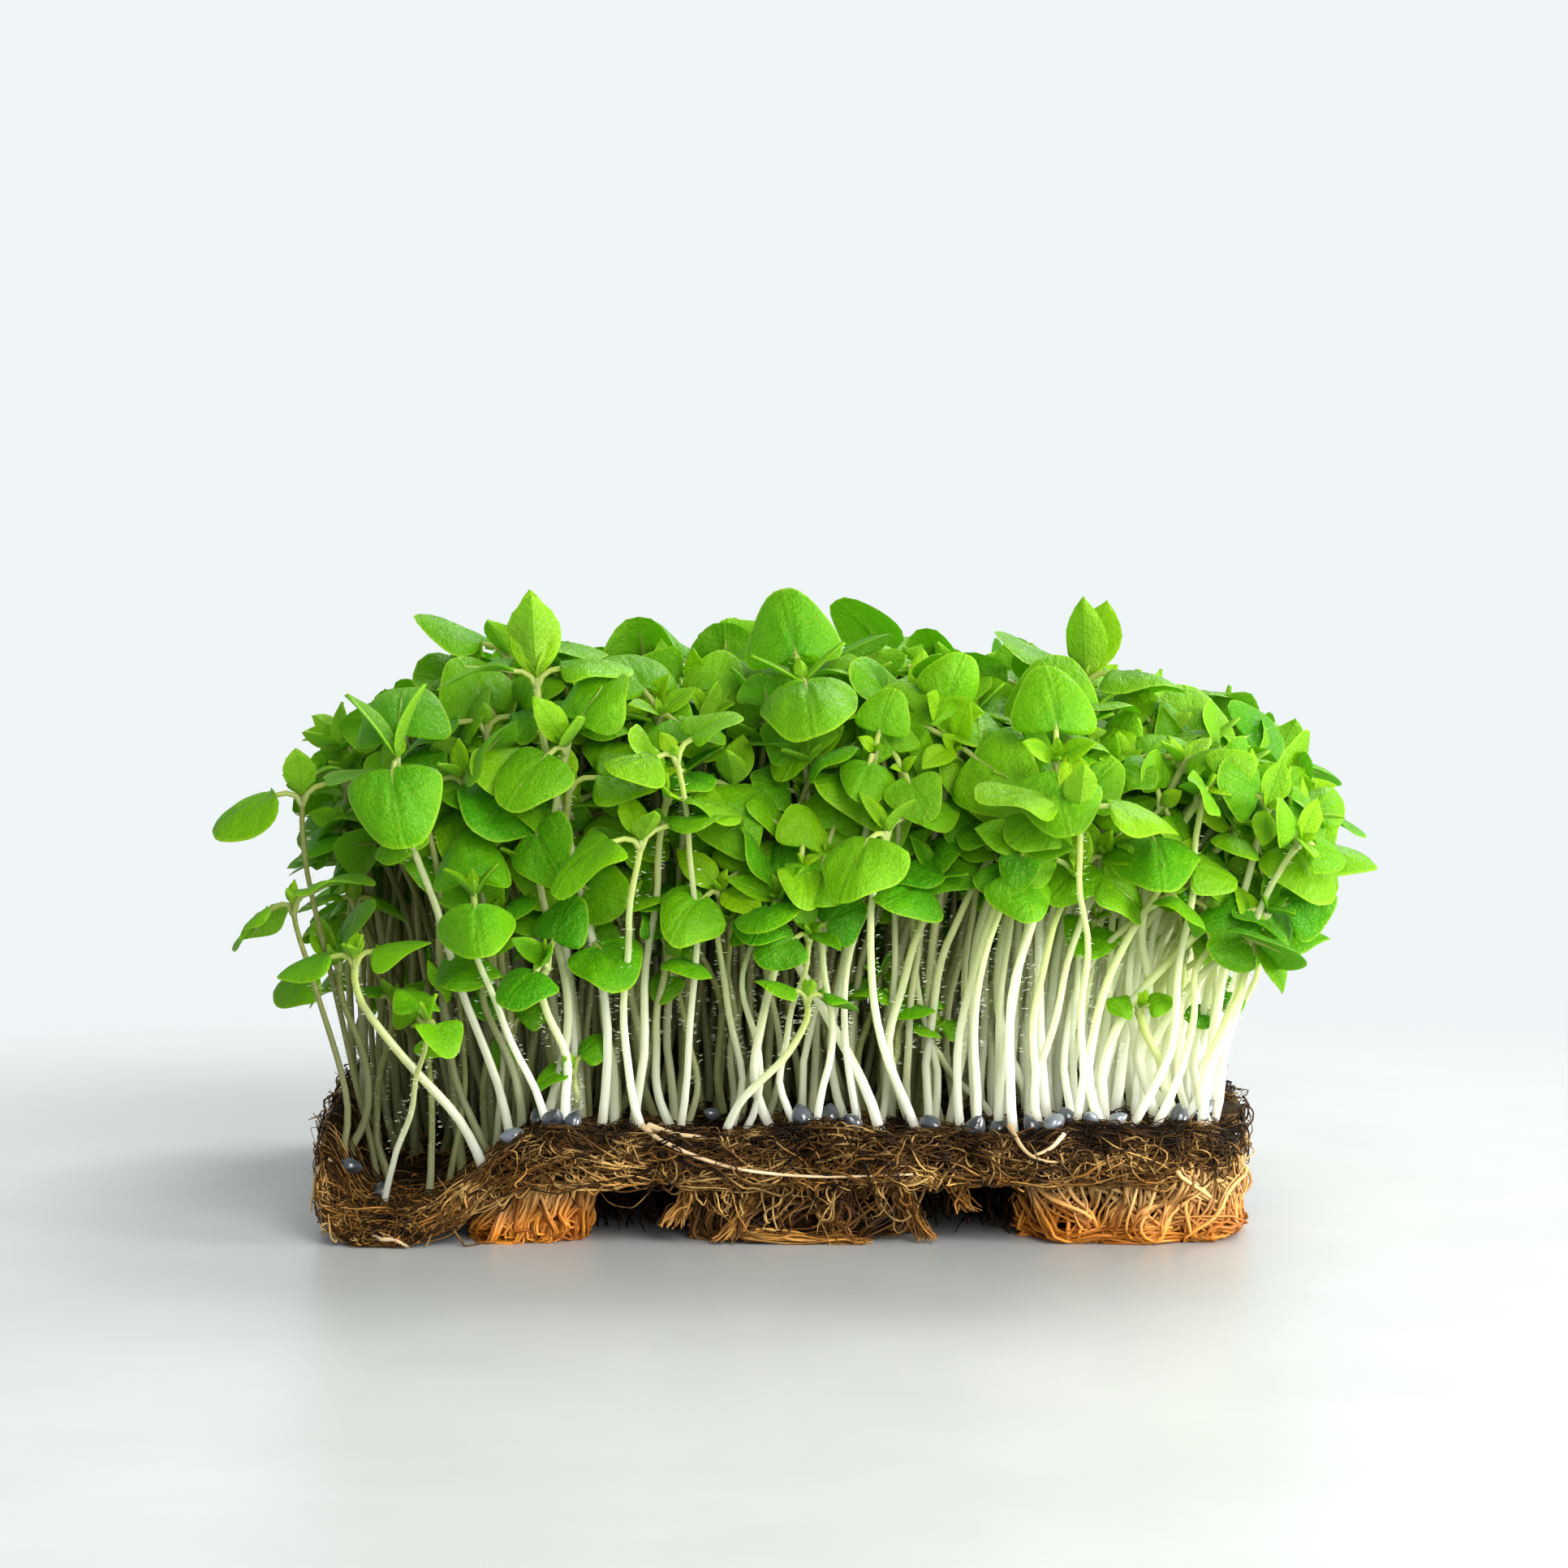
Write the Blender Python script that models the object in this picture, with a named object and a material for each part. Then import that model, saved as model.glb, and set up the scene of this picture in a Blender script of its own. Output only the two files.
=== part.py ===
"""A block of basil microgreens that has been lifted out of its tray and stands on its own roots.

Young basil sprouts grow out of a thin fibre mat. Under the mat the roots have filled the wells of the
tray and keep their shape, so the block stands on seven feet of matted roots. Along the left side the
mat dips to the table and turns up again, as it did against the wall of the tray. Each sprout has a
pale stem, two broad seed leaves and, on the older ones, two pointed true leaves across them.

X runs along the wide front, Y away from the viewer and Z up. The origin is on the table, in the middle
of the mat. Sizes are in millimetres, and MM turns them into metres where a mesh is made.
"""

import math
import random
from dataclasses import dataclass

import bmesh
import bpy
from mathutils import Vector
from mathutils.kdtree import KDTree

MM = 0.001

# Growing mat
MAT_WIDTH = 104
MAT_DEPTH = 84
CORNER_PULL = 0.17  # how far the right corners of the mat are rounded off
LEFT_CORNER_PULL = 0.08
EDGE_WAVE = 0.7  # the torn edge wanders by this much
PLATEAU_TOP = 12.4
PLATEAU_UNDERSIDE = 7.4
CHANNEL_TOP = 3.9  # the mat's upper face where it dips to the table, at the front
CHANNEL_UNDERSIDE = 0.5
CHANNEL_CLIMB = 2.5  # the dip is this much shallower at the back
RIM_FRONT = 5.2
RIM_TOP = 11.8
# where the mat's columns lie, from its left edge, closer together where it bends
GRID_X = (0, 1.6, 3.6, 6.4, 10.5, 15, 19, 23, 27.5, 33, 39, 45, 51, 57, 63, 69, 75, 81, 87, 93, 98.5, 104)
GRID_Y_CELLS = 14

# Sprouts
STEM_FOOT_RADIUS = 0.85
STEM_TOP_RADIUS = 0.62
STEM_SEGMENTS = 3
STEM_SUNK = 2.6  # the stem goes on below the mat's surface
HUB_HEIGHT = 1.1  # where the leaves meet the stem
BLADE_THICKNESS = 0.62
WIDEST = 0.36  # a seed leaf is widest this far along
LOBE = 0.12
SEED_LEAF_LENGTH = 0.80  # of its width
SEED_LEAF_ARCH = 0.13  # across its width
SEED_LEAF_DROOP = 0.16  # towards its tip
PETIOLE = 0.36  # of the width of the seed leaf
TRUE_LEAF_WIDTH = 0.29  # half the width, of its length
TRUE_LEAF_FOLD = 0.4  # how far the two halves fold up towards each other
TRUE_LEAF_CURL = 0.1
HOLE_RADIUS = 1.4
CROWN_RADIUS = 1.9  # sprouts that share a hole are matted together at the root
CROWN_HOLE_RADIUS = 2.45
HOLE_FLOOR = 0.4  # clear space under a root
MAT_LEFT = 0.8  # mat left under a hole
BUNCHES = 25
BUNCH = 3  # sprouts in a bunch, where there is room for them
BUNCH_BASE = 0.8  # from the middle of a bunch to each stem
BUNCH_SPREAD = 6.0  # how far the tops of a bunch lean apart
CLEARANCE = 2.3
SHARED_HEIGHT = 9  # up to here the stems of a bunch may be close to each other
TRIES = 60
STEM_STEPS = 16  # a stem is tested at this many places
TOP_LIMITS = ((-51, 58), (-45, 45))  # the stems end inside these, in x and y
CROWN_TOP = 60
CROWN_FALL_X = 11.4
CROWN_FALL_Y = 5
CROWN_HALF_WIDTH = 58
CROWN_HALF_DEPTH = 46
DEEPEST_DROP = 25  # some sprouts end this far under the crown
YOUNG_DROP = 18  # those that end further down than this are small and have no true leaves
SETTLE_SHIFTS = (0, 1, -1, 2, -2, 3, -3, 4, -4, 5, -5, 6, 7, 8)
SETTLE_TURNS = (0, 10, -10, 20, -20, 35, -35, 55, -55, 80)
SEED = 41

# Sprouts along the front and the edges, each placed by hand, in millimetres and degrees:
# base x and y, top x, y and z, bow in x, heading, pitch of each seed leaf, their width,
# length of the true leaves and their pitch
FRONT_SPROUTS = (
    (-20, -37, -27, -35, 61.0, 3, 4, 10, 16, 9.4, 9.5, 84),
    (-30, -36, -42, -39, 52.5, -2, -97, -56, 46, 10.5, 8.5, 70),
    (-25, -33, -33, -30, 55.5, 2, 12, 4, -12, 9.4, 0, 0),
    (-26, -38.5, -33.5, -43, 38.0, -3, 130, 42, -48, 8.5, 4.0, 60),
    (-15.5, -38, -15.5, -43, 44.0, -4, -158, -24, 14, 10.5, 6.0, 50),
    (10.5, -38.5, -5.5, -41, 49.0, -4, 168, -20, -46, 9.0, 6.0, 60),
    (14.5, -38, 11.0, -44, 45.0, -6, -125, -48, 12, 10.2, 5.0, 55),
    (3, -33, 2.0, -35, 60.5, 2, 96, 56, -20, 10.8, 6.0, 40),
    (29, -34, 29.5, -32, 54.0, -2, 88, 58, -20, 10.5, 7.0, 30),
    (32, -38, 31.5, -44, 47.5, 2, -14, -12, 20, 10.2, 7.0, 58),
    (18, -35, 20.0, -35.5, 49.0, 2, 60, 34, -24, 9.4, 5.0, 60),
    (41, -33, 39.5, -39, 44.0, -2, -24, -18, 10, 10.2, 5.5, 60),
    (-33, -37, -46.5, -42, 31.0, -3, 172, -8, 8, 8.0, 3.0, 50),
    (-49, -28, -54.0, -33, 36.0, 2, 155, -35, 20, 8.5, 0, 0),
    (46, -19, 53.0, -24, 32.0, 2, 2, -2, 20, 7.5, 3.5, -70),
    (-44, -36, -38.5, -41, 24.5, 0, -60, -40, 34, 5.5, 0, 0),
    (-6.5, -38.5, 2.5, -43, 27.0, 2, 24, -10, 16, 5.5, 0, 0),
    (23, -30, 12.5, -32, 26.0, -1, -20, -14, 10, 6.0, 0, 0),
    (34, -26, 34.0, -26, 60.0, -2, 10, 2, 14, 10.5, 9.5, 74),
    (-28, -20, -31.0, -16, 62.5, -2, 160, 34, -6, 10.5, 6.0, 50),
    (47, -25, 54.0, -28, 43.0, 2, -18, -30, 10, 9.4, 5.0, 40),
    (44, -16, 46.0, -22, 50.5, 0, 88, 54, -20, 10.2, 7.0, 60),
    (-46, -20, -53.5, -27, 47.5, -2, -172, -14, 12, 9.8, 6.0, 60),
    (-36, -26, -39.0, -33, 41.0, 0, -150, -30, 14, 9.0, 5.0, 50),
    (48, -8, 56.5, -10, 45.0, 2, -6, -14, 10, 9.8, 5.0, 50),
)

# Seed cases on the mat, x and y, most of them along the front edge
SEED_CASES = (
    (-48, -32.4), (-44.6, -32), (-29.5, -39.3), (-25.2, -40.4), (-23, -40.8), (2, -38.5), (7.5, -40),
    (20.8, -40.2), (23.5, -37), (27, -39), (33.5, -39.3), (36.5, -37.5), (43.5, -34.5),
    (-15, 30), (20, 25), (40, 8),
)
SEED_CASE_LENGTH = 2.5
SEED_CASE_RADIUS = 0.95

# Feet of matted roots: name, centre x and y, half width and half depth, lobes, lean of the top in x
ROOT_FEET = (
    ("front_left", -28.6, -33.5, 6.6, 5.6, 6, 3.2),
    ("front_middle", 2.5, -33, 12.5, 5.5, 9, 0),
    ("front_right", 38.2, -28.5, 12.2, 11.5, 9, 0),
    ("centre", 0, 0, 9, 8, 7, 0),
    ("back_left", -26.5, 28, 8, 8, 7, 2.5),
    ("back_middle", 5, 31, 10, 6.5, 8, 0),
    ("back_right", 36.5, 26.5, 12, 10.5, 9, 0),
)
FOOT_SIDES = 24
# height, and scale of the outline there; the strands gather towards the table
FOOT_RINGS = ((0, 0.82), (1.1, 1.0), (3.6, 0.95), (6.9, 0.95))
FOOT_LOBE_DEPTH = 0.09
LEANING_TAPER = 0.3  # a foot that leans is this much narrower at its top
FOOT_GAP = 0.45  # between a foot and the mat over it

COLOURS = {
    "mat": ((0.075, 0.045, 0.022, 1), 0.95),
    "root": ((0.52, 0.23, 0.065, 1), 0.6),
    "sprout": ((0.17, 0.47, 0.045, 1), 0.5),
}


def smooth(low, high, value):
    """0 below low, 1 above high, and an even curve between them."""
    t = min(1, max(0, (value - low) / (high - low)))
    return t * t * (3 - 2 * t)


def mat_top(x, y):
    """Height of the mat's upper face: a plateau, a channel along the left side and its upturned rim."""
    across = x + MAT_WIDTH / 2
    back = y + MAT_DEPTH / 2
    ripples = 0.5 * math.sin(0.21 * x + 0.6) * math.cos(0.17 * y) + 0.3 * math.sin(0.43 * x + 0.31 * y)
    floor = CHANNEL_TOP + CHANNEL_CLIMB * smooth(15, MAT_DEPTH, back)
    rim = RIM_FRONT + (RIM_TOP - RIM_FRONT) * smooth(1, 13, back)
    slope = smooth(11, 27, across)
    wall = 1 - smooth(1, 6.5, across)
    return floor + (PLATEAU_TOP + ripples - floor) * slope + (rim - floor) * wall


def mat_underside(x, y):
    """Height of the mat's lower face: flat over the feet, low under the channel, rounded under the rim."""
    across = x + MAT_WIDTH / 2
    back = y + MAT_DEPTH / 2
    floor = CHANNEL_UNDERSIDE + CHANNEL_CLIMB * smooth(15, MAT_DEPTH, back)
    heel = 2.6 * (1 - smooth(0, 5, across))
    return floor + (PLATEAU_UNDERSIDE - floor) * smooth(10, 26, across) + heel


@dataclass
class Sprout:
    """One seedling. Points are vectors, and headings and pitches are in radians."""

    base: Vector
    top: Vector
    bow: Vector
    hook: Vector
    heading: float
    pitches: tuple
    width: float
    true_length: float
    true_pitch: float


def stem_point(sprout, t):
    """A point on the stem, t from 0 at the mat to 1 at the leaves, on a cubic curve."""
    rise = sprout.top.z - sprout.base.z
    first = sprout.base + sprout.bow + Vector((0, 0, 0.40 * rise))
    second = sprout.top + sprout.hook - Vector((0, 0, 0.32 * rise))
    s = 1 - t
    return s**3 * sprout.base + 3 * s * s * t * first + 3 * s * t * t * second + t**3 * sprout.top


def leaf_axes(heading, pitch):
    """The directions along a leaf, across it and out of its upper face."""
    ahead = Vector((math.cos(heading), math.sin(heading), 0))
    along = ahead * math.cos(pitch) + Vector((0, 0, math.sin(pitch)))
    across = Vector((-math.sin(heading), math.cos(heading), 0))
    return along, across, along.cross(across)


def seed_leaf_outline(u):
    """Half the width of a seed leaf, as a share of its widest, u from 0 at its base to 1 at its tip."""
    if u < WIDEST:
        return 1 - 0.34 * ((WIDEST - u) / WIDEST) ** 2
    return (1 - ((u - WIDEST) / (1.02 - WIDEST)) ** 2.4) ** 0.6


def seed_leaf_point(sprout, side, u, v):
    """A point on the middle face of a seed leaf; side is 0 or 1, v runs from -1 to 1 across it."""
    heading = sprout.heading + math.pi * side
    pitch = sprout.pitches[side]
    stalk_pitch = 0.5 * pitch + 0.35
    stalk = leaf_axes(heading, stalk_pitch)[0] * (PETIOLE * sprout.width)
    along, across, up = leaf_axes(heading, pitch)
    length = SEED_LEAF_LENGTH * sprout.width
    half = 0.5 * sprout.width
    x = v * half * seed_leaf_outline(u)
    y = length * (u * (1 - 0.05 * v * v) - LOBE * (1 - u) ** 3 * v * v)
    z = -SEED_LEAF_ARCH * half * v * v - SEED_LEAF_DROOP * length * u * u
    return sprout.top + Vector((0, 0, 0.5 * HUB_HEIGHT)) + stalk + along * y + across * x + up * z


def true_leaf_point(sprout, side, u, v):
    """A point on the middle face of a true leaf, which is folded along its rib."""
    heading = sprout.heading + math.pi * (side + 0.5)
    along, across, up = leaf_axes(heading, sprout.true_pitch)
    half = TRUE_LEAF_WIDTH * sprout.true_length * 3.2 * u**0.75 * (1 - u) ** 0.95
    y = sprout.true_length * u
    z = TRUE_LEAF_FOLD * abs(v) * half - TRUE_LEAF_CURL * sprout.true_length * u * u
    start = sprout.top + Vector((0, 0, 0.5 * HUB_HEIGHT))
    return start + along * (y + 0.7 * STEM_TOP_RADIUS) + across * (v * half) + up * z


def sample_points(sprout):
    """Points spread over a sprout, close enough together to tell whether it would touch another."""
    points = [stem_point(sprout, step / STEM_STEPS) for step in range(2, STEM_STEPS + 1)]
    for side in (0, 1):
        for u in (0.02, 0.28, 0.54, 0.78, 1):
            points += [seed_leaf_point(sprout, side, u, v) for v in (-1, -0.5, 0, 0.5, 1)]
        middle = seed_leaf_point(sprout, side, 0, 0).lerp(sprout.top, 0.5)
        points.append(middle)
        if sprout.true_length:
            for u in (0.25, 0.5, 0.75):
                points += [true_leaf_point(sprout, side, u, v) for v in (-1, 0, 1)]
            points.append(true_leaf_point(sprout, side, 1, 0))
    return points


def gap_to(sprout, tree):
    """The shortest distance from a sprout's sample points to those already in the tree."""
    return min(tree.find(point)[2] for point in sample_points(sprout))


def tree_of(points):
    """A search tree over points."""
    tree = KDTree(len(points))
    for index, point in enumerate(points):
        tree.insert(point, index)
    tree.balance()
    return tree


def front_sprout(row, shift, turn):
    """The sprout that one row of FRONT_SPROUTS describes, its top moved back by shift and turned."""
    base_x, base_y, top_x, top_y, top_z = row[:5]
    bow, heading, pitch_a, pitch_b, width, true_length, true_pitch = row[5:]
    return Sprout(
        Vector((base_x, base_y, mat_top(base_x, base_y))),
        Vector((top_x, top_y + shift, top_z)),
        Vector((bow, 0, 0)),
        Vector((0.3 * bow, 0.8, 0)),
        math.radians(heading + turn),
        (math.radians(pitch_a), math.radians(pitch_b)),
        width,
        true_length,
        math.radians(true_pitch),
    )


def settle(row, points):
    """The sprout of one row, with the smallest shift and turn that take it clear of the points."""
    if not points:
        return front_sprout(row, 0, 0)
    tree = tree_of(points)
    best = None
    for shift in SETTLE_SHIFTS:
        for turn in SETTLE_TURNS:
            tried = front_sprout(row, shift, turn)
            gap = gap_to(tried, tree)
            if best is None or gap > best[0]:
                best = (gap, tried)
            if gap > CLEARANCE:
                return tried
    return best[1]


def crown_height(x, y):
    """Height of the top of the greens over a point of the mat: a low dome."""
    fall_x = CROWN_FALL_X * (abs(x) / CROWN_HALF_WIDTH) ** 3.4
    return CROWN_TOP - fall_x - CROWN_FALL_Y * (y / CROWN_HALF_DEPTH) ** 2


def random_sprout(rng, base, lean):
    """A sprout on a given base, its top carried outwards by the crowd and by lean."""
    outward = Vector((0.17 * base.x + (3 if base.x > 30 else 0), 0.13 * base.y, 0))
    top = base + outward + lean + Vector((rng.gauss(0, 2), rng.gauss(0, 2), 0))
    top.x, top.y = (min(high, max(low, value)) for value, (low, high) in zip(top.xy, TOP_LIMITS))
    drop = DEEPEST_DROP * rng.random() ** 1.5
    top.z = crown_height(top.x, top.y) - drop
    edge = max(abs(top.x) / CROWN_HALF_WIDTH, abs(top.y) / CROWN_HALF_DEPTH)
    heading = rng.uniform(-math.pi, math.pi)
    pitches = tuple(math.radians(rng.uniform(-16, 30) - 22 * edge**3) for _ in (0, 1))
    young = drop > YOUNG_DROP
    has_true_leaves = rng.random() < 0.72 and not young
    return Sprout(
        base,
        top,
        Vector((rng.uniform(-3.5, 3.5), rng.uniform(-3.5, 3.5), 0)),
        Vector((rng.uniform(-2, 2), rng.uniform(-2, 2), 0)),
        heading,
        pitches,
        rng.uniform(7.6, 10.8) * (0.78 if young else 1),
        rng.uniform(4.6, 8) if has_true_leaves else 0,
        math.radians(rng.uniform(38, 74)),
    )


def mat_outline_point(a, b):
    """The point of the mat for a and b from -1 to 1, with rounded corners and a wandering edge."""
    pull = CORNER_PULL if a > 0 else LEFT_CORNER_PULL
    x = 0.5 * MAT_WIDTH * a * math.sqrt(1 - pull * b**4)
    y = 0.5 * MAT_DEPTH * b * math.sqrt(1 - pull * a**4)
    near_edge = max(abs(a), abs(b)) ** 8
    wander = EDGE_WAVE * near_edge * (math.sin(0.37 * x + 0.5 * y) + 0.5 * math.sin(1.1 * x - 0.8 * y))
    return x * (1 + wander / MAT_WIDTH), y * (1 + wander / MAT_DEPTH)


def far_from(candidates, taken):
    """The candidate that lies furthest from every point already taken."""
    return max(candidates, key=lambda c: min((c - t).length for t in taken))


def free_base(rng, taken):
    """A new place on the mat for a sprout, in the widest free spot of a few tries."""
    tries = []
    for _ in range(30):
        x, y = mat_outline_point(rng.uniform(-0.93, 0.93), rng.uniform(-0.9, 0.9))
        tries.append(Vector((x, y, mat_top(x, y))))
    return far_from(tries, taken)


def clear_sprout(rng, base, apart, tree):
    """A random sprout of a bunch that touches nothing in the tree, leaning apart, or None."""
    for _ in range(TRIES):
        tried = random_sprout(rng, base + apart * BUNCH_BASE, apart * BUNCH_SPREAD)
        above = [p for p in sample_points(tried) if p.z > base.z + SHARED_HEIGHT]
        if min(tree.find(p)[2] for p in above) > CLEARANCE and clears_mat(tried):
            return tried
    return None


def clears_mat(sprout):
    """Whether the lowest part of the stem stays off the mat, which slopes beside the channel."""
    knee = stem_point(sprout, 1 / STEM_SEGMENTS)
    for step in range(1, STEM_STEPS):
        point = sprout.base.lerp(knee, step / STEM_STEPS)
        out = (point.xy - sprout.base.xy).length
        if out > 0.5 * STEM_FOOT_RADIUS and point.z < mat_top(point.x, point.y) + 1.5 * STEM_FOOT_RADIUS:
            return False
    return True


def lay_out_sprouts():
    """The holes of the block: a list of lists, each with the sprouts that share a hole."""
    rng = random.Random(SEED)
    holes = []
    points = []
    for row in FRONT_SPROUTS:
        holes.append([settle(row, points)])
        points += sample_points(holes[-1][0])
    tree = tree_of(points)
    taken = [sprout.base for (sprout,) in holes]
    while len(holes) < len(FRONT_SPROUTS) + BUNCHES:
        base = free_base(rng, taken)
        taken.append(base)
        bunch = []
        first = rng.uniform(0, math.pi)
        for number in range(BUNCH):
            turn = first + 2 * math.pi * number / BUNCH
            sprout = clear_sprout(rng, base, Vector((math.cos(turn), math.sin(turn), 0)), tree)
            if sprout:
                bunch.append(sprout)
                points += sample_points(sprout)
                tree = tree_of(points)
        if bunch:
            holes.append(bunch)
    return holes


def material(name):
    """The plain material of one kind of sub-part."""
    colour, roughness = COLOURS[name]
    made = bpy.data.materials.new(name)
    made.use_nodes = True
    shader = made.node_tree.nodes["Principled BSDF"]
    shader.inputs["Base Color"].default_value = colour
    shader.inputs["Roughness"].default_value = roughness
    shader.inputs["Metallic"].default_value = 0
    made.diffuse_color = colour
    return made


def add_object(name, points, faces, kind=None):
    """An object from points in millimetres, with every face turned outwards."""
    mesh = bpy.data.meshes.new(name)
    mesh.from_pydata([Vector(p) * MM for p in points], [], faces)
    builder = bmesh.new()
    builder.from_mesh(mesh)
    bmesh.ops.recalc_face_normals(builder, faces=builder.faces)
    builder.to_mesh(mesh)
    builder.free()
    made = bpy.data.objects.new(name, mesh)
    bpy.context.scene.collection.objects.link(made)
    if kind:
        mesh.materials.append(kind)
    return made


def loft(rings):
    """Points and faces of a closed tube through rings of equal length."""
    sides = len(rings[0])
    points = [p for ring in rings for p in ring]
    faces = []
    for level in range(len(rings) - 1):
        for i in range(sides):
            j = (i + 1) % sides
            low = level * sides
            faces.append((low + i, low + j, low + sides + j, low + sides + i))
    faces.append(tuple(range(sides)))
    faces.append(tuple(range(len(points) - sides, len(points))))
    return points, faces


def prism(x, y, low, high, radius, sides=6):
    """Points and faces of an upright prism."""
    turns = [2 * math.pi * i / sides for i in range(sides)]
    rings = [[(x + radius * math.cos(a), y + radius * math.sin(a), z) for a in turns] for z in (low, high)]
    return loft(rings)


def combine(target, others, operation):
    """One Boolean of target with a collection of others, applied, and the others removed."""
    group = bpy.data.collections.new(target.name + "_group")
    bpy.context.scene.collection.children.link(group)
    for other in others:
        bpy.context.scene.collection.objects.unlink(other)
        group.objects.link(other)
    modifier = target.modifiers.new("combine", "BOOLEAN")
    modifier.operand_type = "COLLECTION"
    modifier.collection = group
    modifier.operation = operation
    modifier.solver = "MANIFOLD"
    bpy.context.view_layer.objects.active = target
    bpy.ops.object.modifier_apply(modifier=modifier.name)
    for other in others:
        bpy.data.objects.remove(other)
    bpy.data.collections.remove(group)


def make_mat(kind, holes):
    """The fibre mat, with the seed cases that lie on it fused in and a plain hole for every root."""
    rows = range(GRID_Y_CELLS + 1)
    places = []
    for j in rows:
        for grid_x in GRID_X:
            a = 2 * grid_x / MAT_WIDTH - 1
            b = 2 * j / GRID_Y_CELLS - 1
            places.append(mat_outline_point(a, b))
    top = [(x, y, mat_top(x, y)) for x, y in places]
    under = [(x, y, mat_underside(x, y)) for x, y in places]
    columns = len(GRID_X)
    count = len(top)
    faces = []
    for j in range(GRID_Y_CELLS):
        for i in range(columns - 1):
            corner = j * columns + i
            for shift in (0, count):
                here = corner + shift
                faces.append((here, here + 1, here + columns + 1))
                faces.append((here, here + columns + 1, here + columns))
    rim = list(range(columns))
    rim += [j * columns + columns - 1 for j in rows[1:]]
    rim += [GRID_Y_CELLS * columns + i for i in reversed(range(columns - 1))]
    rim += [j * columns for j in reversed(rows[1:-1])]
    for here, after in zip(rim, rim[1:] + rim[:1]):
        faces.append((here, after, after + count, here + count))
    mat = add_object("growing_mat", top + under, faces, kind)
    combine(mat, [seed_case(x, y, i) for i, (x, y) in enumerate(SEED_CASES)], "UNION")
    combine(mat, [hole_cutter(hole) for hole in holes], "DIFFERENCE")
    return mat


def seed_case(x, y, turn):
    """A seed case that lies on the mat, half sunk, as a drop with six sides."""
    axis = Vector((math.cos(1.7 * turn), math.sin(1.7 * turn), 0.35)).normalized()
    side = axis.cross(Vector((0, 0, 1))).normalized()
    up = side.cross(axis)
    middle = Vector((x, y, mat_top(x, y) + 0.25 * SEED_CASE_RADIUS))
    rings = []
    for along, radius in ((-0.5, 0.45), (-0.15, 1), (0.2, 0.85), (0.5, 0.3)):
        centre = middle + axis * along * SEED_CASE_LENGTH
        size = radius * SEED_CASE_RADIUS
        turns = [2 * math.pi * i / 6 for i in range(6)]
        rings.append([centre + side * size * math.cos(a) + up * size * math.sin(a) for a in turns])
    return add_object("seed_case", *loft(rings))


def hole_centre(hole):
    """The middle of the sprouts that share a hole."""
    return sum((sprout.base for sprout in hole), Vector()) / len(hole)


def hole_radius(hole):
    """A wider hole for a bunch than for one stem."""
    return HOLE_RADIUS if len(hole) == 1 else CROWN_HOLE_RADIUS


def root_floor(hole):
    """How far down the roots of a hole go: not through the mat, which slopes here and there."""
    centre = hole_centre(hole)
    radius = hole_radius(hole)
    under = max(mat_underside(centre.x + side * radius, centre.y) for side in (-1, 1))
    return max(centre.z - STEM_SUNK, under + HOLE_FLOOR + MAT_LEFT)


def hole_cutter(hole):
    """What one hole takes out of the mat."""
    centre = hole_centre(hole)
    low = root_floor(hole) - HOLE_FLOOR
    return add_object("hole", *prism(centre.x, centre.y, low, centre.z + 8, hole_radius(hole)))


class Shape:
    """Points and faces collected for one mesh."""

    def __init__(self):
        self.points = []
        self.faces = []

    def add(self, *points):
        """Add points and give back their numbers."""
        first = len(self.points)
        self.points += points
        return list(range(first, len(self.points)))


def add_seed_leaf(shape, sprout, side, low, high):
    """A seed leaf on its stalk. low and high are the stem's two edges that the stalk grows from."""
    up = leaf_axes(sprout.heading + math.pi * side, sprout.pitches[side])[2] * (0.5 * BLADE_THICKNESS)
    stalk = 1.0 / sprout.width
    rows = ((0, (-1, -stalk, stalk, 1)), (0.42, (-1, 0, 1)), (1, (-1, 0, 1)))
    top = []
    under = []
    for u, shares in rows:
        middle = [seed_leaf_point(sprout, side, u, v) for v in shares]
        top.append(shape.add(*[p + up for p in middle]))
        under.append(shape.add(*[p - up for p in middle]))
    for face in (top, under):
        base, wide, tip = face
        shape.faces += [(base[0], base[1], wide[0]), (base[1], wide[1], wide[0])]
        shape.faces += [(base[1], base[2], wide[1]), (base[2], wide[2], wide[1])]
        shape.faces.append((base[2], base[3], wide[2]))
        for i in (0, 1):
            shape.faces += [(wide[i], wide[i + 1], tip[i]), (wide[i + 1], tip[i + 1], tip[i])]
    edges = []
    for face in (top, under):
        base, wide, tip = face
        edges.append([base[1], base[0], wide[0], tip[0], tip[1], tip[2], wide[2], base[3], base[2]])
    for i in range(len(edges[0]) - 1):
        shape.faces.append((edges[0][i], edges[0][i + 1], edges[1][i + 1], edges[1][i]))
    shape.faces.append((top[0][1], top[0][2], high[1], high[0]))
    shape.faces.append((under[0][1], under[0][2], low[1], low[0]))
    shape.faces.append((top[0][1], under[0][1], low[0], high[0]))
    shape.faces.append((top[0][2], under[0][2], low[1], high[1]))


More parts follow.
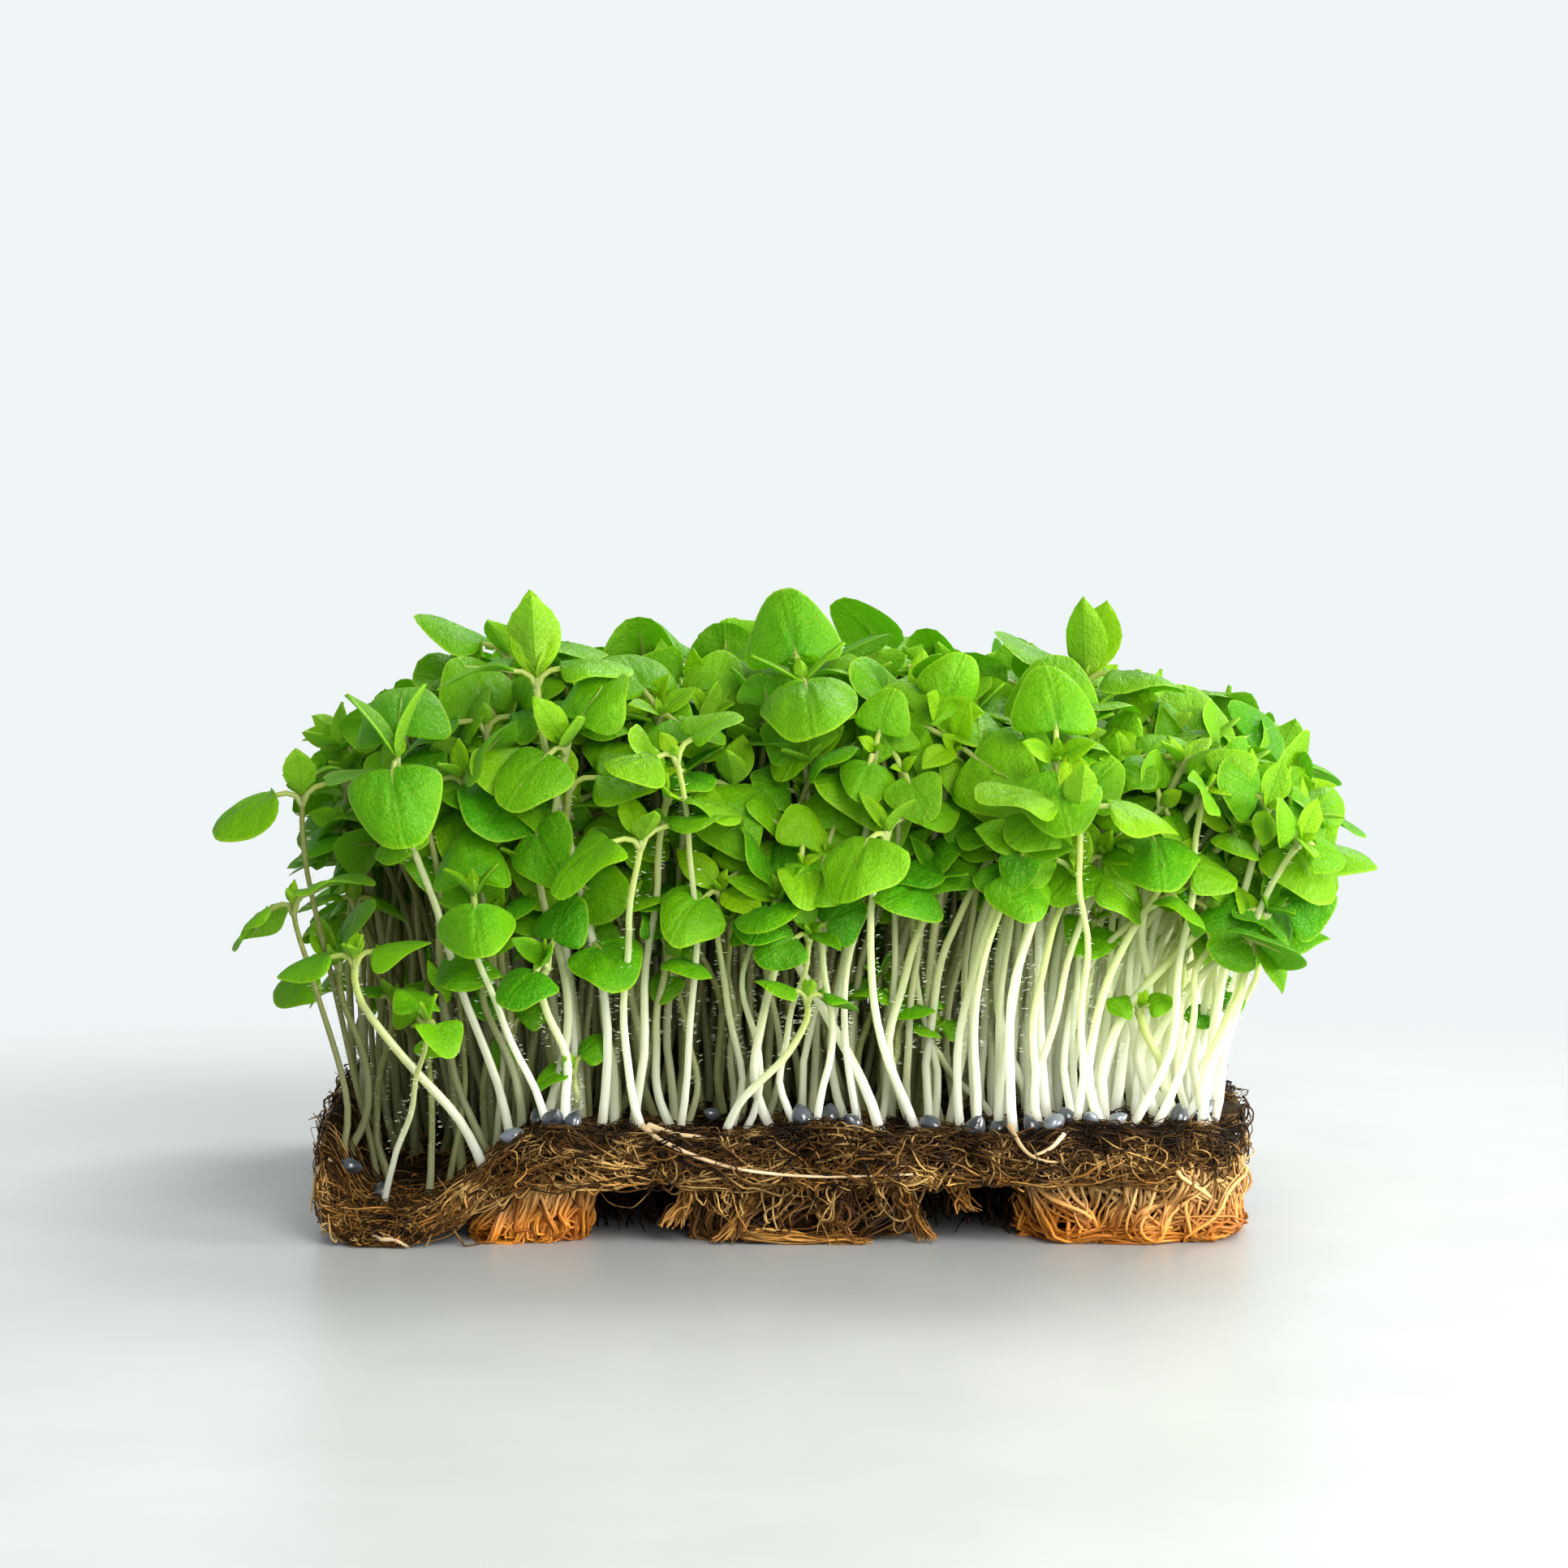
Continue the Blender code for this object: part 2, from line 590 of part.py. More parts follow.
def add_true_leaf(shape, sprout, side, low, high):
    """A pointed true leaf, folded along its rib, straight on the stem."""
    heading = sprout.heading + math.pi * (side + 0.5)
    up = leaf_axes(heading, sprout.true_pitch)[2] * (0.5 * BLADE_THICKNESS)
    middle = [true_leaf_point(sprout, side, 0.42, v) for v in (-1, 0, 1)]
    middle.append(true_leaf_point(sprout, side, 0.96, 0))
    top = shape.add(*[p + up for p in middle])
    under = shape.add(*[p - up for p in middle])
    for edge, (right, rib, left, tip) in ((high, top), (low, under)):
        shape.faces += [(edge[0], edge[1], rib), (edge[0], rib, right), (edge[1], left, rib)]
        shape.faces += [(right, rib, tip), (rib, left, tip)]
    right, _, left, tip = zip(top, under)
    edges = ((high[0], low[0]), right, tip, left, (high[1], low[1]))
    for (a, b), (c, d) in zip(edges, edges[1:]):
        shape.faces.append((a, c, d, b))


def make_sprout(name, sprout, floor, kind=None):
    """One sprout as a closed body: a four-sided stem whose top edges carry the leaves."""
    shape = Shape()
    centres = [(Vector((sprout.base.x, sprout.base.y, floor)), STEM_FOOT_RADIUS)]
    for step in range(STEM_SEGMENTS + 1):
        t = step / STEM_SEGMENTS
        radius = STEM_FOOT_RADIUS + (STEM_TOP_RADIUS - STEM_FOOT_RADIUS) * t
        centres.append((stem_point(sprout, t), radius))
    centres.append((sprout.top + Vector((0, 0, HUB_HEIGHT)), STEM_TOP_RADIUS))
    rings = []
    for centre, radius in centres:
        turns = [sprout.heading + math.pi * (0.25 + 0.5 * i) for i in range(4)]
        rings.append(shape.add(*[centre + Vector((math.cos(a), math.sin(a), 0)) * radius for a in turns]))
    shape.faces += [tuple(rings[0]), tuple(rings[-1])]
    for low, high in zip(rings, rings[1:]):
        for j in range(4):
            edge_low = (low[j - 1], low[j])
            edge_high = (high[j - 1], high[j])
            if high is rings[-1] and j in (0, 2):
                add_seed_leaf(shape, sprout, j // 2, edge_low, edge_high)
            elif high is rings[-1] and sprout.true_length:
                add_true_leaf(shape, sprout, j // 2, edge_low, edge_high)
            else:
                shape.faces.append((edge_low[0], edge_low[1], edge_high[1], edge_high[0]))
    return add_object(name, shape.points, shape.faces, kind)


def make_hole(number, hole, kind):
    """The sprouts of one hole. Those of a bunch are matted together by a short crown of roots."""
    name = f"sprouts_{number:02d}"
    floor = root_floor(hole)
    if len(hole) == 1:
        return make_sprout(name, hole[0], floor, kind)
    centre = hole_centre(hole)
    crown = add_object(name, *prism(centre.x, centre.y, floor, centre.z + 0.1, CROWN_RADIUS), kind)
    combine(crown, [make_sprout("part", sprout, floor + 0.7) for sprout in hole], "UNION")
    return crown


def make_foot(name, x, y, half_width, half_depth, lobes, lean, kind):
    """A foot of matted roots with a lobed outline and a flat sole."""
    rings = []
    top = FOOT_RINGS[-1][0]
    for height, scale in FOOT_RINGS:
        ring = []
        for i in range(FOOT_SIDES):
            a = 2 * math.pi * i / FOOT_SIDES
            lobe = 1 + FOOT_LOBE_DEPTH * math.cos(lobes * a + 0.5 * height)
            square = (math.cos(a) ** 4 + math.sin(a) ** 4) ** -0.18
            reach = scale * lobe * square
            squeeze = 1 - LEANING_TAPER * height / top if lean else 1
            px = x + lean * height / top + half_width * reach * squeeze * math.cos(a)
            py = y + half_depth * reach * math.sin(a)
            ring.append((px, py, min(height, mat_underside(px, py) - FOOT_GAP)))
        rings.append(ring)
    return add_object("root_foot_" + name, *loft(rings), kind)


def build():
    for old in list(bpy.data.objects):
        bpy.data.objects.remove(old)
    kinds = {name: material(name) for name in COLOURS}
    holes = lay_out_sprouts()
    for number, hole in enumerate(holes, 1):
        make_hole(number, hole, kinds["sprout"])
    make_mat(kinds["mat"], holes)
    for foot in ROOT_FEET:
        make_foot(*foot, kinds["root"])


build()
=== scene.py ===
"""The look of a block of basil microgreens that stands on its own roots.

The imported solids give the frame. The same seeded rule that placed their sprouts is repeated here, so each
fine sprout stands exactly where its solid does, and about 750 more fill the crowd between them. The mat
gets its fibres, the feet their roots, and the sprouts their curved leaves, hairs and buds.

X runs along the wide front, Y away from the viewer and Z up. Lengths are in millimetres until a mesh is
made.
"""

import math
import random
from dataclasses import dataclass

import bpy
import numpy as np
from mathutils import Matrix, Vector, noise
from mathutils.kdtree import KDTree


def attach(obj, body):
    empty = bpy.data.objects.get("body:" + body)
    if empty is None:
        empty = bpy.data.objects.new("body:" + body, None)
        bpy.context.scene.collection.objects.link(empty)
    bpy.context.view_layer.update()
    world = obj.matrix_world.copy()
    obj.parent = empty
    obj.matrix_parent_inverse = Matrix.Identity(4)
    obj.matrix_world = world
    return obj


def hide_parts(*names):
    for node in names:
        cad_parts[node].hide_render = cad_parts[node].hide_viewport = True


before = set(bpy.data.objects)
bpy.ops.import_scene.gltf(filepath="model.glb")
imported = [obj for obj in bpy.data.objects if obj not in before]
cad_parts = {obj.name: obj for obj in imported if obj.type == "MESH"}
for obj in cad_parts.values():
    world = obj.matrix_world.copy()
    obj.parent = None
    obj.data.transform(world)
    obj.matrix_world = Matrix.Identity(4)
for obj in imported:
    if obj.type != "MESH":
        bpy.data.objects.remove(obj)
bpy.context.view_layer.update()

MM = 0.001
SPROUT_NODES = sorted(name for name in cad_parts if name.startswith("sprouts_"))
FOOT_NODES = sorted(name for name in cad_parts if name.startswith("root_foot_"))

# Growing mat
MAT_WIDTH = 104
MAT_DEPTH = 84
HALF_WIDTH = MAT_WIDTH / 2
HALF_DEPTH = MAT_DEPTH / 2
CORNER_PULL = 0.17  # how far the right corners of the mat are rounded off
LEFT_CORNER_PULL = 0.08
EDGE_WAVE = 0.7  # the torn edge wanders by this much
PLATEAU_TOP = 12.4
PLATEAU_UNDERSIDE = 7.4
CHANNEL_TOP = 3.9  # the mat's upper face where it dips to the table, at the front
CHANNEL_UNDERSIDE = 0.5
CHANNEL_CLIMB = 2.5  # the dip is this much shallower at the back
RIM_FRONT = 5.2
RIM_TOP = 11.8

# Sprouts
STEM_FOOT_RADIUS = 0.85
STEM_TOP_RADIUS = 0.62
STEM_SEGMENTS = 3  # of the stems in the source
HUB_HEIGHT = 1.1  # where the leaves meet the stem
WIDEST = 0.36  # a seed leaf is widest this far along
LOBE = 0.12
SEED_LEAF_LENGTH = 0.80  # of its width
SEED_LEAF_ARCH = 0.13  # across its width
SEED_LEAF_DROOP = 0.16  # towards its tip
PETIOLE = 0.36  # of the width of the seed leaf
TRUE_LEAF_WIDTH = 0.29  # half the width, of its length
TRUE_LEAF_FOLD = 0.4  # how far the two halves fold up towards each other
TRUE_LEAF_CURL = 0.1
BUNCHES = 25
BUNCH = 3  # sprouts in a bunch, where there is room for them
BUNCH_BASE = 0.8  # from the middle of a bunch to each stem
BUNCH_SPREAD = 6.0  # how far the tops of a bunch lean apart
CLEARANCE = 2.3
SHARED_HEIGHT = 9  # up to here the stems of a bunch may be close to each other
TRIES = 60
STEM_STEPS = 16  # a stem is tested at this many places
TOP_LIMITS = ((-51, 58), (-45, 45))  # the stems end inside these, in x and y
CROWN_TOP = 60
CROWN_FALL_X = 11.4
CROWN_FALL_Y = 5
CROWN_HALF_WIDTH = 58
CROWN_HALF_DEPTH = 46
DEEPEST_DROP = 25  # some sprouts end this far under the crown
YOUNG_DROP = 18  # those that end further down than this are small and have no true leaves
SETTLE_SHIFTS = (0, 1, -1, 2, -2, 3, -3, 4, -4, 5, -5, 6, 7, 8)
SETTLE_TURNS = (0, 10, -10, 20, -20, 35, -35, 55, -55, 80)
SEED = 41

# Sprouts along the front and the edges, in millimetres and degrees:
# base x and y, top x, y and z, bow in x, heading, pitch of each seed leaf, their width,
# length of the true leaves and their pitch
FRONT_SPROUTS = (
    (-20, -37, -27, -35, 61.0, 3, 4, 10, 16, 9.4, 9.5, 84),
    (-30, -36, -42, -39, 52.5, -2, -97, -56, 46, 10.5, 8.5, 70),
    (-25, -33, -33, -30, 55.5, 2, 12, 4, -12, 9.4, 0, 0),
    (-26, -38.5, -33.5, -43, 38.0, -3, 130, 42, -48, 8.5, 4.0, 60),
    (-15.5, -38, -15.5, -43, 44.0, -4, -158, -24, 14, 10.5, 6.0, 50),
    (10.5, -38.5, -5.5, -41, 49.0, -4, 168, -20, -46, 9.0, 6.0, 60),
    (14.5, -38, 11.0, -44, 45.0, -6, -125, -48, 12, 10.2, 5.0, 55),
    (3, -33, 2.0, -35, 60.5, 2, 96, 56, -20, 10.8, 6.0, 40),
    (29, -34, 29.5, -32, 54.0, -2, 88, 58, -20, 10.5, 7.0, 30),
    (32, -38, 31.5, -44, 47.5, 2, -14, -12, 20, 10.2, 7.0, 58),
    (18, -35, 20.0, -35.5, 49.0, 2, 60, 34, -24, 9.4, 5.0, 60),
    (41, -33, 39.5, -39, 44.0, -2, -24, -18, 10, 10.2, 5.5, 60),
    (-33, -37, -46.5, -42, 31.0, -3, 172, -8, 8, 8.0, 3.0, 50),
    (-49, -28, -54.0, -33, 36.0, 2, 155, -35, 20, 8.5, 0, 0),
    (46, -19, 53.0, -24, 32.0, 2, 2, -2, 20, 7.5, 3.5, -70),
    (-44, -36, -38.5, -41, 24.5, 0, -60, -40, 34, 5.5, 0, 0),
    (-6.5, -38.5, 2.5, -43, 27.0, 2, 24, -10, 16, 5.5, 0, 0),
    (23, -30, 12.5, -32, 26.0, -1, -20, -14, 10, 6.0, 0, 0),
    (34, -26, 34.0, -26, 60.0, -2, 10, 2, 14, 10.5, 9.5, 74),
    (-28, -20, -31.0, -16, 62.5, -2, 160, 34, -6, 10.5, 6.0, 50),
    (47, -25, 54.0, -28, 43.0, 2, -18, -30, 10, 9.4, 5.0, 40),
    (44, -16, 46.0, -22, 50.5, 0, 88, 54, -20, 10.2, 7.0, 60),
    (-46, -20, -53.5, -27, 47.5, -2, -172, -14, 12, 9.8, 6.0, 60),
    (-36, -26, -39.0, -33, 41.0, 0, -150, -30, 14, 9.0, 5.0, 50),
    (48, -8, 56.5, -10, 45.0, 2, -6, -14, 10, 9.8, 5.0, 50),
)

# Seed cases on the mat, x and y, most of them along the front edge
SEED_CASES = (
    (-48, -32.4), (-44.6, -32), (-29.5, -39.3), (-25.2, -40.4), (-23, -40.8), (2, -38.5), (7.5, -40),
    (20.8, -40.2), (23.5, -37), (27, -39), (33.5, -39.3), (36.5, -37.5), (43.5, -34.5),
    (-15, 30), (20, 25), (40, 8),
)
SEED_CASE_LENGTH = 2.5
SEED_CASE_RADIUS = 0.95

# Feet of matted roots: name, centre x and y, half width and half depth, lobes, lean of the top in x
ROOT_FEET = (
    ("front_left", -28.6, -33.5, 6.6, 5.6, 6, 3.2),
    ("front_middle", 2.5, -33, 12.5, 5.5, 9, 0),
    ("front_right", 38.2, -28.5, 12.2, 11.5, 9, 0),
    ("centre", 0, 0, 9, 8, 7, 0),
    ("back_left", -26.5, 28, 8, 8, 7, 2.5),
    ("back_middle", 5, 31, 10, 6.5, 8, 0),
    ("back_right", 36.5, 26.5, 12, 10.5, 9, 0),
)
# height, and scale of the outline there; the strands gather towards the table
FOOT_RINGS = ((0, 0.82), (1.1, 1.0), (3.6, 0.95), (6.9, 0.95))
FOOT_LOBE_DEPTH = 0.09
LEANING_TAPER = 0.3  # a foot that leans is this much narrower at its top


def smooth(low, high, value):
    """0 below low, 1 above high, and an even curve between them."""
    t = min(1, max(0, (value - low) / (high - low)))
    return t * t * (3 - 2 * t)


def mat_top(x, y):
    """Height of the mat's upper face: a plateau, a channel along the left side and its upturned rim."""
    across = x + HALF_WIDTH
    back = y + HALF_DEPTH
    ripples = 0.5 * math.sin(0.21 * x + 0.6) * math.cos(0.17 * y) + 0.3 * math.sin(0.43 * x + 0.31 * y)
    floor = CHANNEL_TOP + CHANNEL_CLIMB * smooth(15, MAT_DEPTH, back)
    rim = RIM_FRONT + (RIM_TOP - RIM_FRONT) * smooth(1, 13, back)
    slope = smooth(11, 27, across)
    wall = 1 - smooth(1, 6.5, across)
    return floor + (PLATEAU_TOP + ripples - floor) * slope + (rim - floor) * wall


def mat_underside(x, y):
    """Height of the mat's lower face: flat over the feet, low under the channel, rounded under the rim."""
    across = x + HALF_WIDTH
    back = y + HALF_DEPTH
    floor = CHANNEL_UNDERSIDE + CHANNEL_CLIMB * smooth(15, MAT_DEPTH, back)
    heel = 2.6 * (1 - smooth(0, 5, across))
    return floor + (PLATEAU_UNDERSIDE - floor) * smooth(10, 26, across) + heel


@dataclass
class Sprout:
    """One seedling. Points are vectors, and headings and pitches are in radians."""

    base: Vector
    top: Vector
    bow: Vector
    hook: Vector
    heading: float
    pitches: tuple
    width: float
    true_length: float
    true_pitch: float
    nod: float = 0  # how strongly its head leans, in degrees


def stem_point(sprout, t):
    """A point on the stem, t from 0 at the mat to 1 at the leaves, on a cubic curve."""
    rise = sprout.top.z - sprout.base.z
    first = sprout.base + sprout.bow + Vector((0, 0, 0.40 * rise))
    second = sprout.top + sprout.hook - Vector((0, 0, 0.32 * rise))
    s = 1 - t
    return s**3 * sprout.base + 3 * s * s * t * first + 3 * s * t * t * second + t**3 * sprout.top


def leaf_axes(heading, pitch):
    """The directions along a leaf, across it and out of its upper face."""
    ahead = Vector((math.cos(heading), math.sin(heading), 0))
    along = ahead * math.cos(pitch) + Vector((0, 0, math.sin(pitch)))
    across = Vector((-math.sin(heading), math.cos(heading), 0))
    return along, across, along.cross(across)


def seed_leaf_outline(u):
    """Half the width of a seed leaf, as a share of its widest, u from 0 at its base to 1 at its tip."""
    if u < WIDEST:
        return 1 - 0.34 * ((WIDEST - u) / WIDEST) ** 2
    return (1 - ((u - WIDEST) / (1.02 - WIDEST)) ** 2.4) ** 0.6


def seed_leaf_point(sprout, side, u, v):
    """A point on the middle face of a seed leaf; side is 0 or 1, v runs from -1 to 1 across it."""
    heading = sprout.heading + math.pi * side
    pitch = sprout.pitches[side]
    stalk_pitch = 0.5 * pitch + 0.35
    stalk = leaf_axes(heading, stalk_pitch)[0] * (PETIOLE * sprout.width)
    along, across, up = leaf_axes(heading, pitch)
    length = SEED_LEAF_LENGTH * sprout.width
    half = 0.5 * sprout.width
    x = v * half * seed_leaf_outline(u)
    y = length * (u * (1 - 0.05 * v * v) - LOBE * (1 - u) ** 3 * v * v)
    z = -SEED_LEAF_ARCH * half * v * v - SEED_LEAF_DROOP * length * u * u
    return sprout.top + Vector((0, 0, 0.5 * HUB_HEIGHT)) + stalk + along * y + across * x + up * z


def true_leaf_point(sprout, side, u, v):
    """A point on the middle face of a true leaf, which is folded along its rib."""
    heading = sprout.heading + math.pi * (side + 0.5)
    along, across, up = leaf_axes(heading, sprout.true_pitch)
    half = TRUE_LEAF_WIDTH * sprout.true_length * 3.2 * u**0.75 * (1 - u) ** 0.95
    y = sprout.true_length * u
    z = TRUE_LEAF_FOLD * abs(v) * half - TRUE_LEAF_CURL * sprout.true_length * u * u
    start = sprout.top + Vector((0, 0, 0.5 * HUB_HEIGHT))
    return start + along * (y + 0.7 * STEM_TOP_RADIUS) + across * (v * half) + up * z


def sample_points(sprout):
    """Points spread over a sprout, close enough together to tell whether it would touch another."""
    points = [stem_point(sprout, step / STEM_STEPS) for step in range(2, STEM_STEPS + 1)]
    for side in (0, 1):
        for u in (0.02, 0.28, 0.54, 0.78, 1):
            points += [seed_leaf_point(sprout, side, u, v) for v in (-1, -0.5, 0, 0.5, 1)]
        points.append(seed_leaf_point(sprout, side, 0, 0).lerp(sprout.top, 0.5))
        if sprout.true_length:
            for u in (0.25, 0.5, 0.75):
                points += [true_leaf_point(sprout, side, u, v) for v in (-1, 0, 1)]
            points.append(true_leaf_point(sprout, side, 1, 0))
    return points


def gap_to(sprout, tree):
    """The shortest distance from a sprout's sample points to those already in the tree."""
    return min(tree.find(point)[2] for point in sample_points(sprout))


def tree_of(points):
    """A search tree over points."""
    tree = KDTree(len(points))
    for index, point in enumerate(points):
        tree.insert(point, index)
    tree.balance()
    return tree


def front_sprout(row, shift, turn):
    """The sprout that one row of FRONT_SPROUTS describes, its top moved back by shift and turned."""
    base_x, base_y, top_x, top_y, top_z = row[:5]
    bow, heading, pitch_a, pitch_b, width, true_length, true_pitch = row[5:]
    return Sprout(
        Vector((base_x, base_y, mat_top(base_x, base_y))),
        Vector((top_x, top_y + shift, top_z)),
        Vector((bow, 0, 0)),
        Vector((0.3 * bow, 0.8, 0)),
        math.radians(heading + turn),
        (math.radians(pitch_a), math.radians(pitch_b)),
        width,
        true_length,
        math.radians(true_pitch),
    )


def settle(row, points):
    """The sprout of one row, with the smallest shift and turn that take it clear of the points."""
    if not points:
        return front_sprout(row, 0, 0)
    tree = tree_of(points)
    best = None
    for shift in SETTLE_SHIFTS:
        for turn in SETTLE_TURNS:
            tried = front_sprout(row, shift, turn)
            gap = gap_to(tried, tree)
            if best is None or gap > best[0]:
                best = (gap, tried)
            if gap > CLEARANCE:
                return tried
    return best[1]


def crown_height(x, y):
    """Height of the top of the greens over a point of the mat: a low dome."""
    fall_x = CROWN_FALL_X * (abs(x) / CROWN_HALF_WIDTH) ** 3.4
    return CROWN_TOP - fall_x - CROWN_FALL_Y * (y / CROWN_HALF_DEPTH) ** 2


def random_sprout(rng, base, lean):
    """A sprout on a given base, its top carried outwards by the crowd and by lean."""
    outward = Vector((0.17 * base.x + (3 if base.x > 30 else 0), 0.13 * base.y, 0))
    top = base + outward + lean + Vector((rng.gauss(0, 2), rng.gauss(0, 2), 0))
    top.x, top.y = (min(high, max(low, value)) for value, (low, high) in zip(top.xy, TOP_LIMITS))
    drop = DEEPEST_DROP * rng.random() ** 1.5
    top.z = crown_height(top.x, top.y) - drop
    edge = max(abs(top.x) / CROWN_HALF_WIDTH, abs(top.y) / CROWN_HALF_DEPTH)
    heading = rng.uniform(-math.pi, math.pi)
    pitches = tuple(math.radians(rng.uniform(-16, 30) - 22 * edge**3) for _ in (0, 1))
    young = drop > YOUNG_DROP
    has_true_leaves = rng.random() < 0.72 and not young
    return Sprout(
        base,
        top,
        Vector((rng.uniform(-3.5, 3.5), rng.uniform(-3.5, 3.5), 0)),
        Vector((rng.uniform(-2, 2), rng.uniform(-2, 2), 0)),
        heading,
        pitches,
        rng.uniform(7.6, 10.8) * (0.78 if young else 1),
        rng.uniform(4.6, 8) if has_true_leaves else 0,
        math.radians(rng.uniform(38, 74)),
    )


def mat_outline_point(a, b):
    """The point of the mat for a and b from -1 to 1, with rounded corners and a wandering edge."""
    pull = CORNER_PULL if a > 0 else LEFT_CORNER_PULL
    x = HALF_WIDTH * a * math.sqrt(1 - pull * b**4)
    y = HALF_DEPTH * b * math.sqrt(1 - pull * a**4)
    near_edge = max(abs(a), abs(b)) ** 8
    wander = EDGE_WAVE * near_edge * (math.sin(0.37 * x + 0.5 * y) + 0.5 * math.sin(1.1 * x - 0.8 * y))
    return x * (1 + wander / MAT_WIDTH), y * (1 + wander / MAT_DEPTH)


def far_from(candidates, taken):
    """The candidate that lies furthest from every point already taken."""
    return max(candidates, key=lambda c: min((c - t).length for t in taken))


def free_base(rng, taken):
    """A new place on the mat for a sprout, in the widest free spot of a few tries."""
    tries = []
    for _ in range(30):
        x, y = mat_outline_point(rng.uniform(-0.93, 0.93), rng.uniform(-0.9, 0.9))
        tries.append(Vector((x, y, mat_top(x, y))))
    return far_from(tries, taken)


def clear_sprout(rng, base, apart, tree):
    """A random sprout of a bunch that touches nothing in the tree, leaning apart, or None."""
    for _ in range(TRIES):
        tried = random_sprout(rng, base + apart * BUNCH_BASE, apart * BUNCH_SPREAD)
        above = [p for p in sample_points(tried) if p.z > base.z + SHARED_HEIGHT]
        if min(tree.find(p)[2] for p in above) > CLEARANCE and clears_mat(tried):
            return tried
    return None


def clears_mat(sprout):
    """Whether the lowest part of the stem stays off the mat, which slopes beside the channel."""
    knee = stem_point(sprout, 1 / STEM_SEGMENTS)
    for step in range(1, STEM_STEPS):
        point = sprout.base.lerp(knee, step / STEM_STEPS)
        out = (point.xy - sprout.base.xy).length
        if out > 0.5 * STEM_FOOT_RADIUS and point.z < mat_top(point.x, point.y) + 1.5 * STEM_FOOT_RADIUS:
            return False
    return True


def lay_out_sprouts():
    """The holes of the block: a list of lists, each with the sprouts that share a hole."""
    rng = random.Random(SEED)
    holes = []
    points = []
    for row in FRONT_SPROUTS:
        holes.append([settle(row, points)])
        points += sample_points(holes[-1][0])
    tree = tree_of(points)
    taken = [sprout.base for (sprout,) in holes]
    while len(holes) < len(FRONT_SPROUTS) + BUNCHES:
        base = free_base(rng, taken)
        taken.append(base)
        bunch = []
        first = rng.uniform(0, math.pi)
        for number in range(BUNCH):
            turn = first + 2 * math.pi * number / BUNCH
            sprout = clear_sprout(rng, base, Vector((math.cos(turn), math.sin(turn), 0)), tree)
            if sprout:
                bunch.append(sprout)
                points += sample_points(sprout)
                tree = tree_of(points)
        if bunch:
            holes.append(bunch)
    return holes


# Camera: a long lens a little above the greens
LENS = 117.2
SENSOR = 36
CAMERA_PLACE = (0, -0.592, 0.094)
CAMERA_PITCH = math.radians(4.5)

rng = random.Random(7)
dice = np.random.default_rng(7)


def link(made):
    """Puts an object in the scene."""
    bpy.context.scene.collection.objects.link(made)
    return made


def make_camera():
    """The photograph's view of the front."""
    data = bpy.data.cameras.new("camera")
    data.lens = LENS
    data.sensor_width = SENSOR
    data.clip_start = 0.01
    data.clip_end = 20
    camera = link(bpy.data.objects.new("camera", data))
    camera.location = CAMERA_PLACE
    camera.rotation_euler = (math.pi / 2 - CAMERA_PITCH, 0, 0)
    bpy.context.scene.camera = camera


class Batch:
    """Points and faces gathered for one piece. Each point has a tint and a mark of three numbers."""

    def __init__(self):
        self.points = []
        self.faces = []
        self.tints = []
        self.marks = []
        self.count = 0

    def add(self, points, faces, tints=(0, 0, 0), marks=(0, 0, 0)):
        """Adds points (n, 3) and faces (m, 4)."""
        self.points.append(points)
        self.faces.append(faces + self.count)
        self.tints.append(np.broadcast_to(tints, points.shape))
        self.marks.append(np.broadcast_to(marks, points.shape))
        self.count += len(points)

    def piece(self, name, material, slot, nodes=()):
        """The gathered mesh as one piece that rides on the block."""
        points = np.concatenate(self.points) * MM
        faces = np.concatenate(self.faces)
        mesh = bpy.data.meshes.new(name)
        mesh.vertices.add(len(points))
        mesh.vertices.foreach_set("co", points.astype(np.float32).ravel())
        mesh.loops.add(faces.size)
        mesh.loops.foreach_set("vertex_index", faces.astype(np.int32).ravel())
        mesh.polygons.add(len(faces))
        mesh.polygons.foreach_set("loop_start", np.arange(0, faces.size, 4, dtype=np.int32))
        mesh.polygons.foreach_set("use_smooth", np.ones(len(faces), dtype=bool))
        for attribute, values in (("tint", self.tints), ("mark", self.marks)):
            layer = mesh.attributes.new(attribute, "FLOAT_VECTOR", "POINT")
            layer.data.foreach_set("vector", np.concatenate(values).astype(np.float32).ravel())
        mesh.update(calc_edges=True)
        mesh.validate()
        mesh.materials.append(material)
        made = link(bpy.data.objects.new(name, mesh))
        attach(made, "root")
        if nodes:
            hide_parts(*nodes)


def repeated(faces, times, count):
    """The faces of one part, repeated for more parts of count points each."""
    return (faces + (np.arange(times) * count)[:, None, None]).reshape(-1, 4)


def grid_faces(rows, columns, closed=False):
    """Faces between the points of a grid; a closed one runs on from its last column to its first."""
    starts = columns if closed else columns - 1
    row, column = np.meshgrid(np.arange(rows - 1), np.arange(starts), indexing="ij")
    start = row * columns
    after = (column + 1) % columns
    corners = (start + column, start + after, start + columns + after, start + columns + column)
    return np.stack(corners, -1).reshape(-1, 4)


# Strands and stems

TUBE_SIDE = (0.31, 0.9, 0.3)  # no strand runs this way, so it gives each ring of a tube its turn


def unit(vectors):
    """Vectors scaled to length 1."""
    return vectors / np.maximum(np.linalg.norm(vectors, axis=-1, keepdims=True), 1e-9)


def marks_along(paths, along=None, second=0.0):
    """Marks for paths (s, n, 3): the place along each, from 0 to 1 if none is given, and another number."""
    marks = np.zeros(paths.shape)
    marks[..., 0] = np.linspace(0, 1, paths.shape[1]) if along is None else along
    marks[..., 1] = second
    return marks


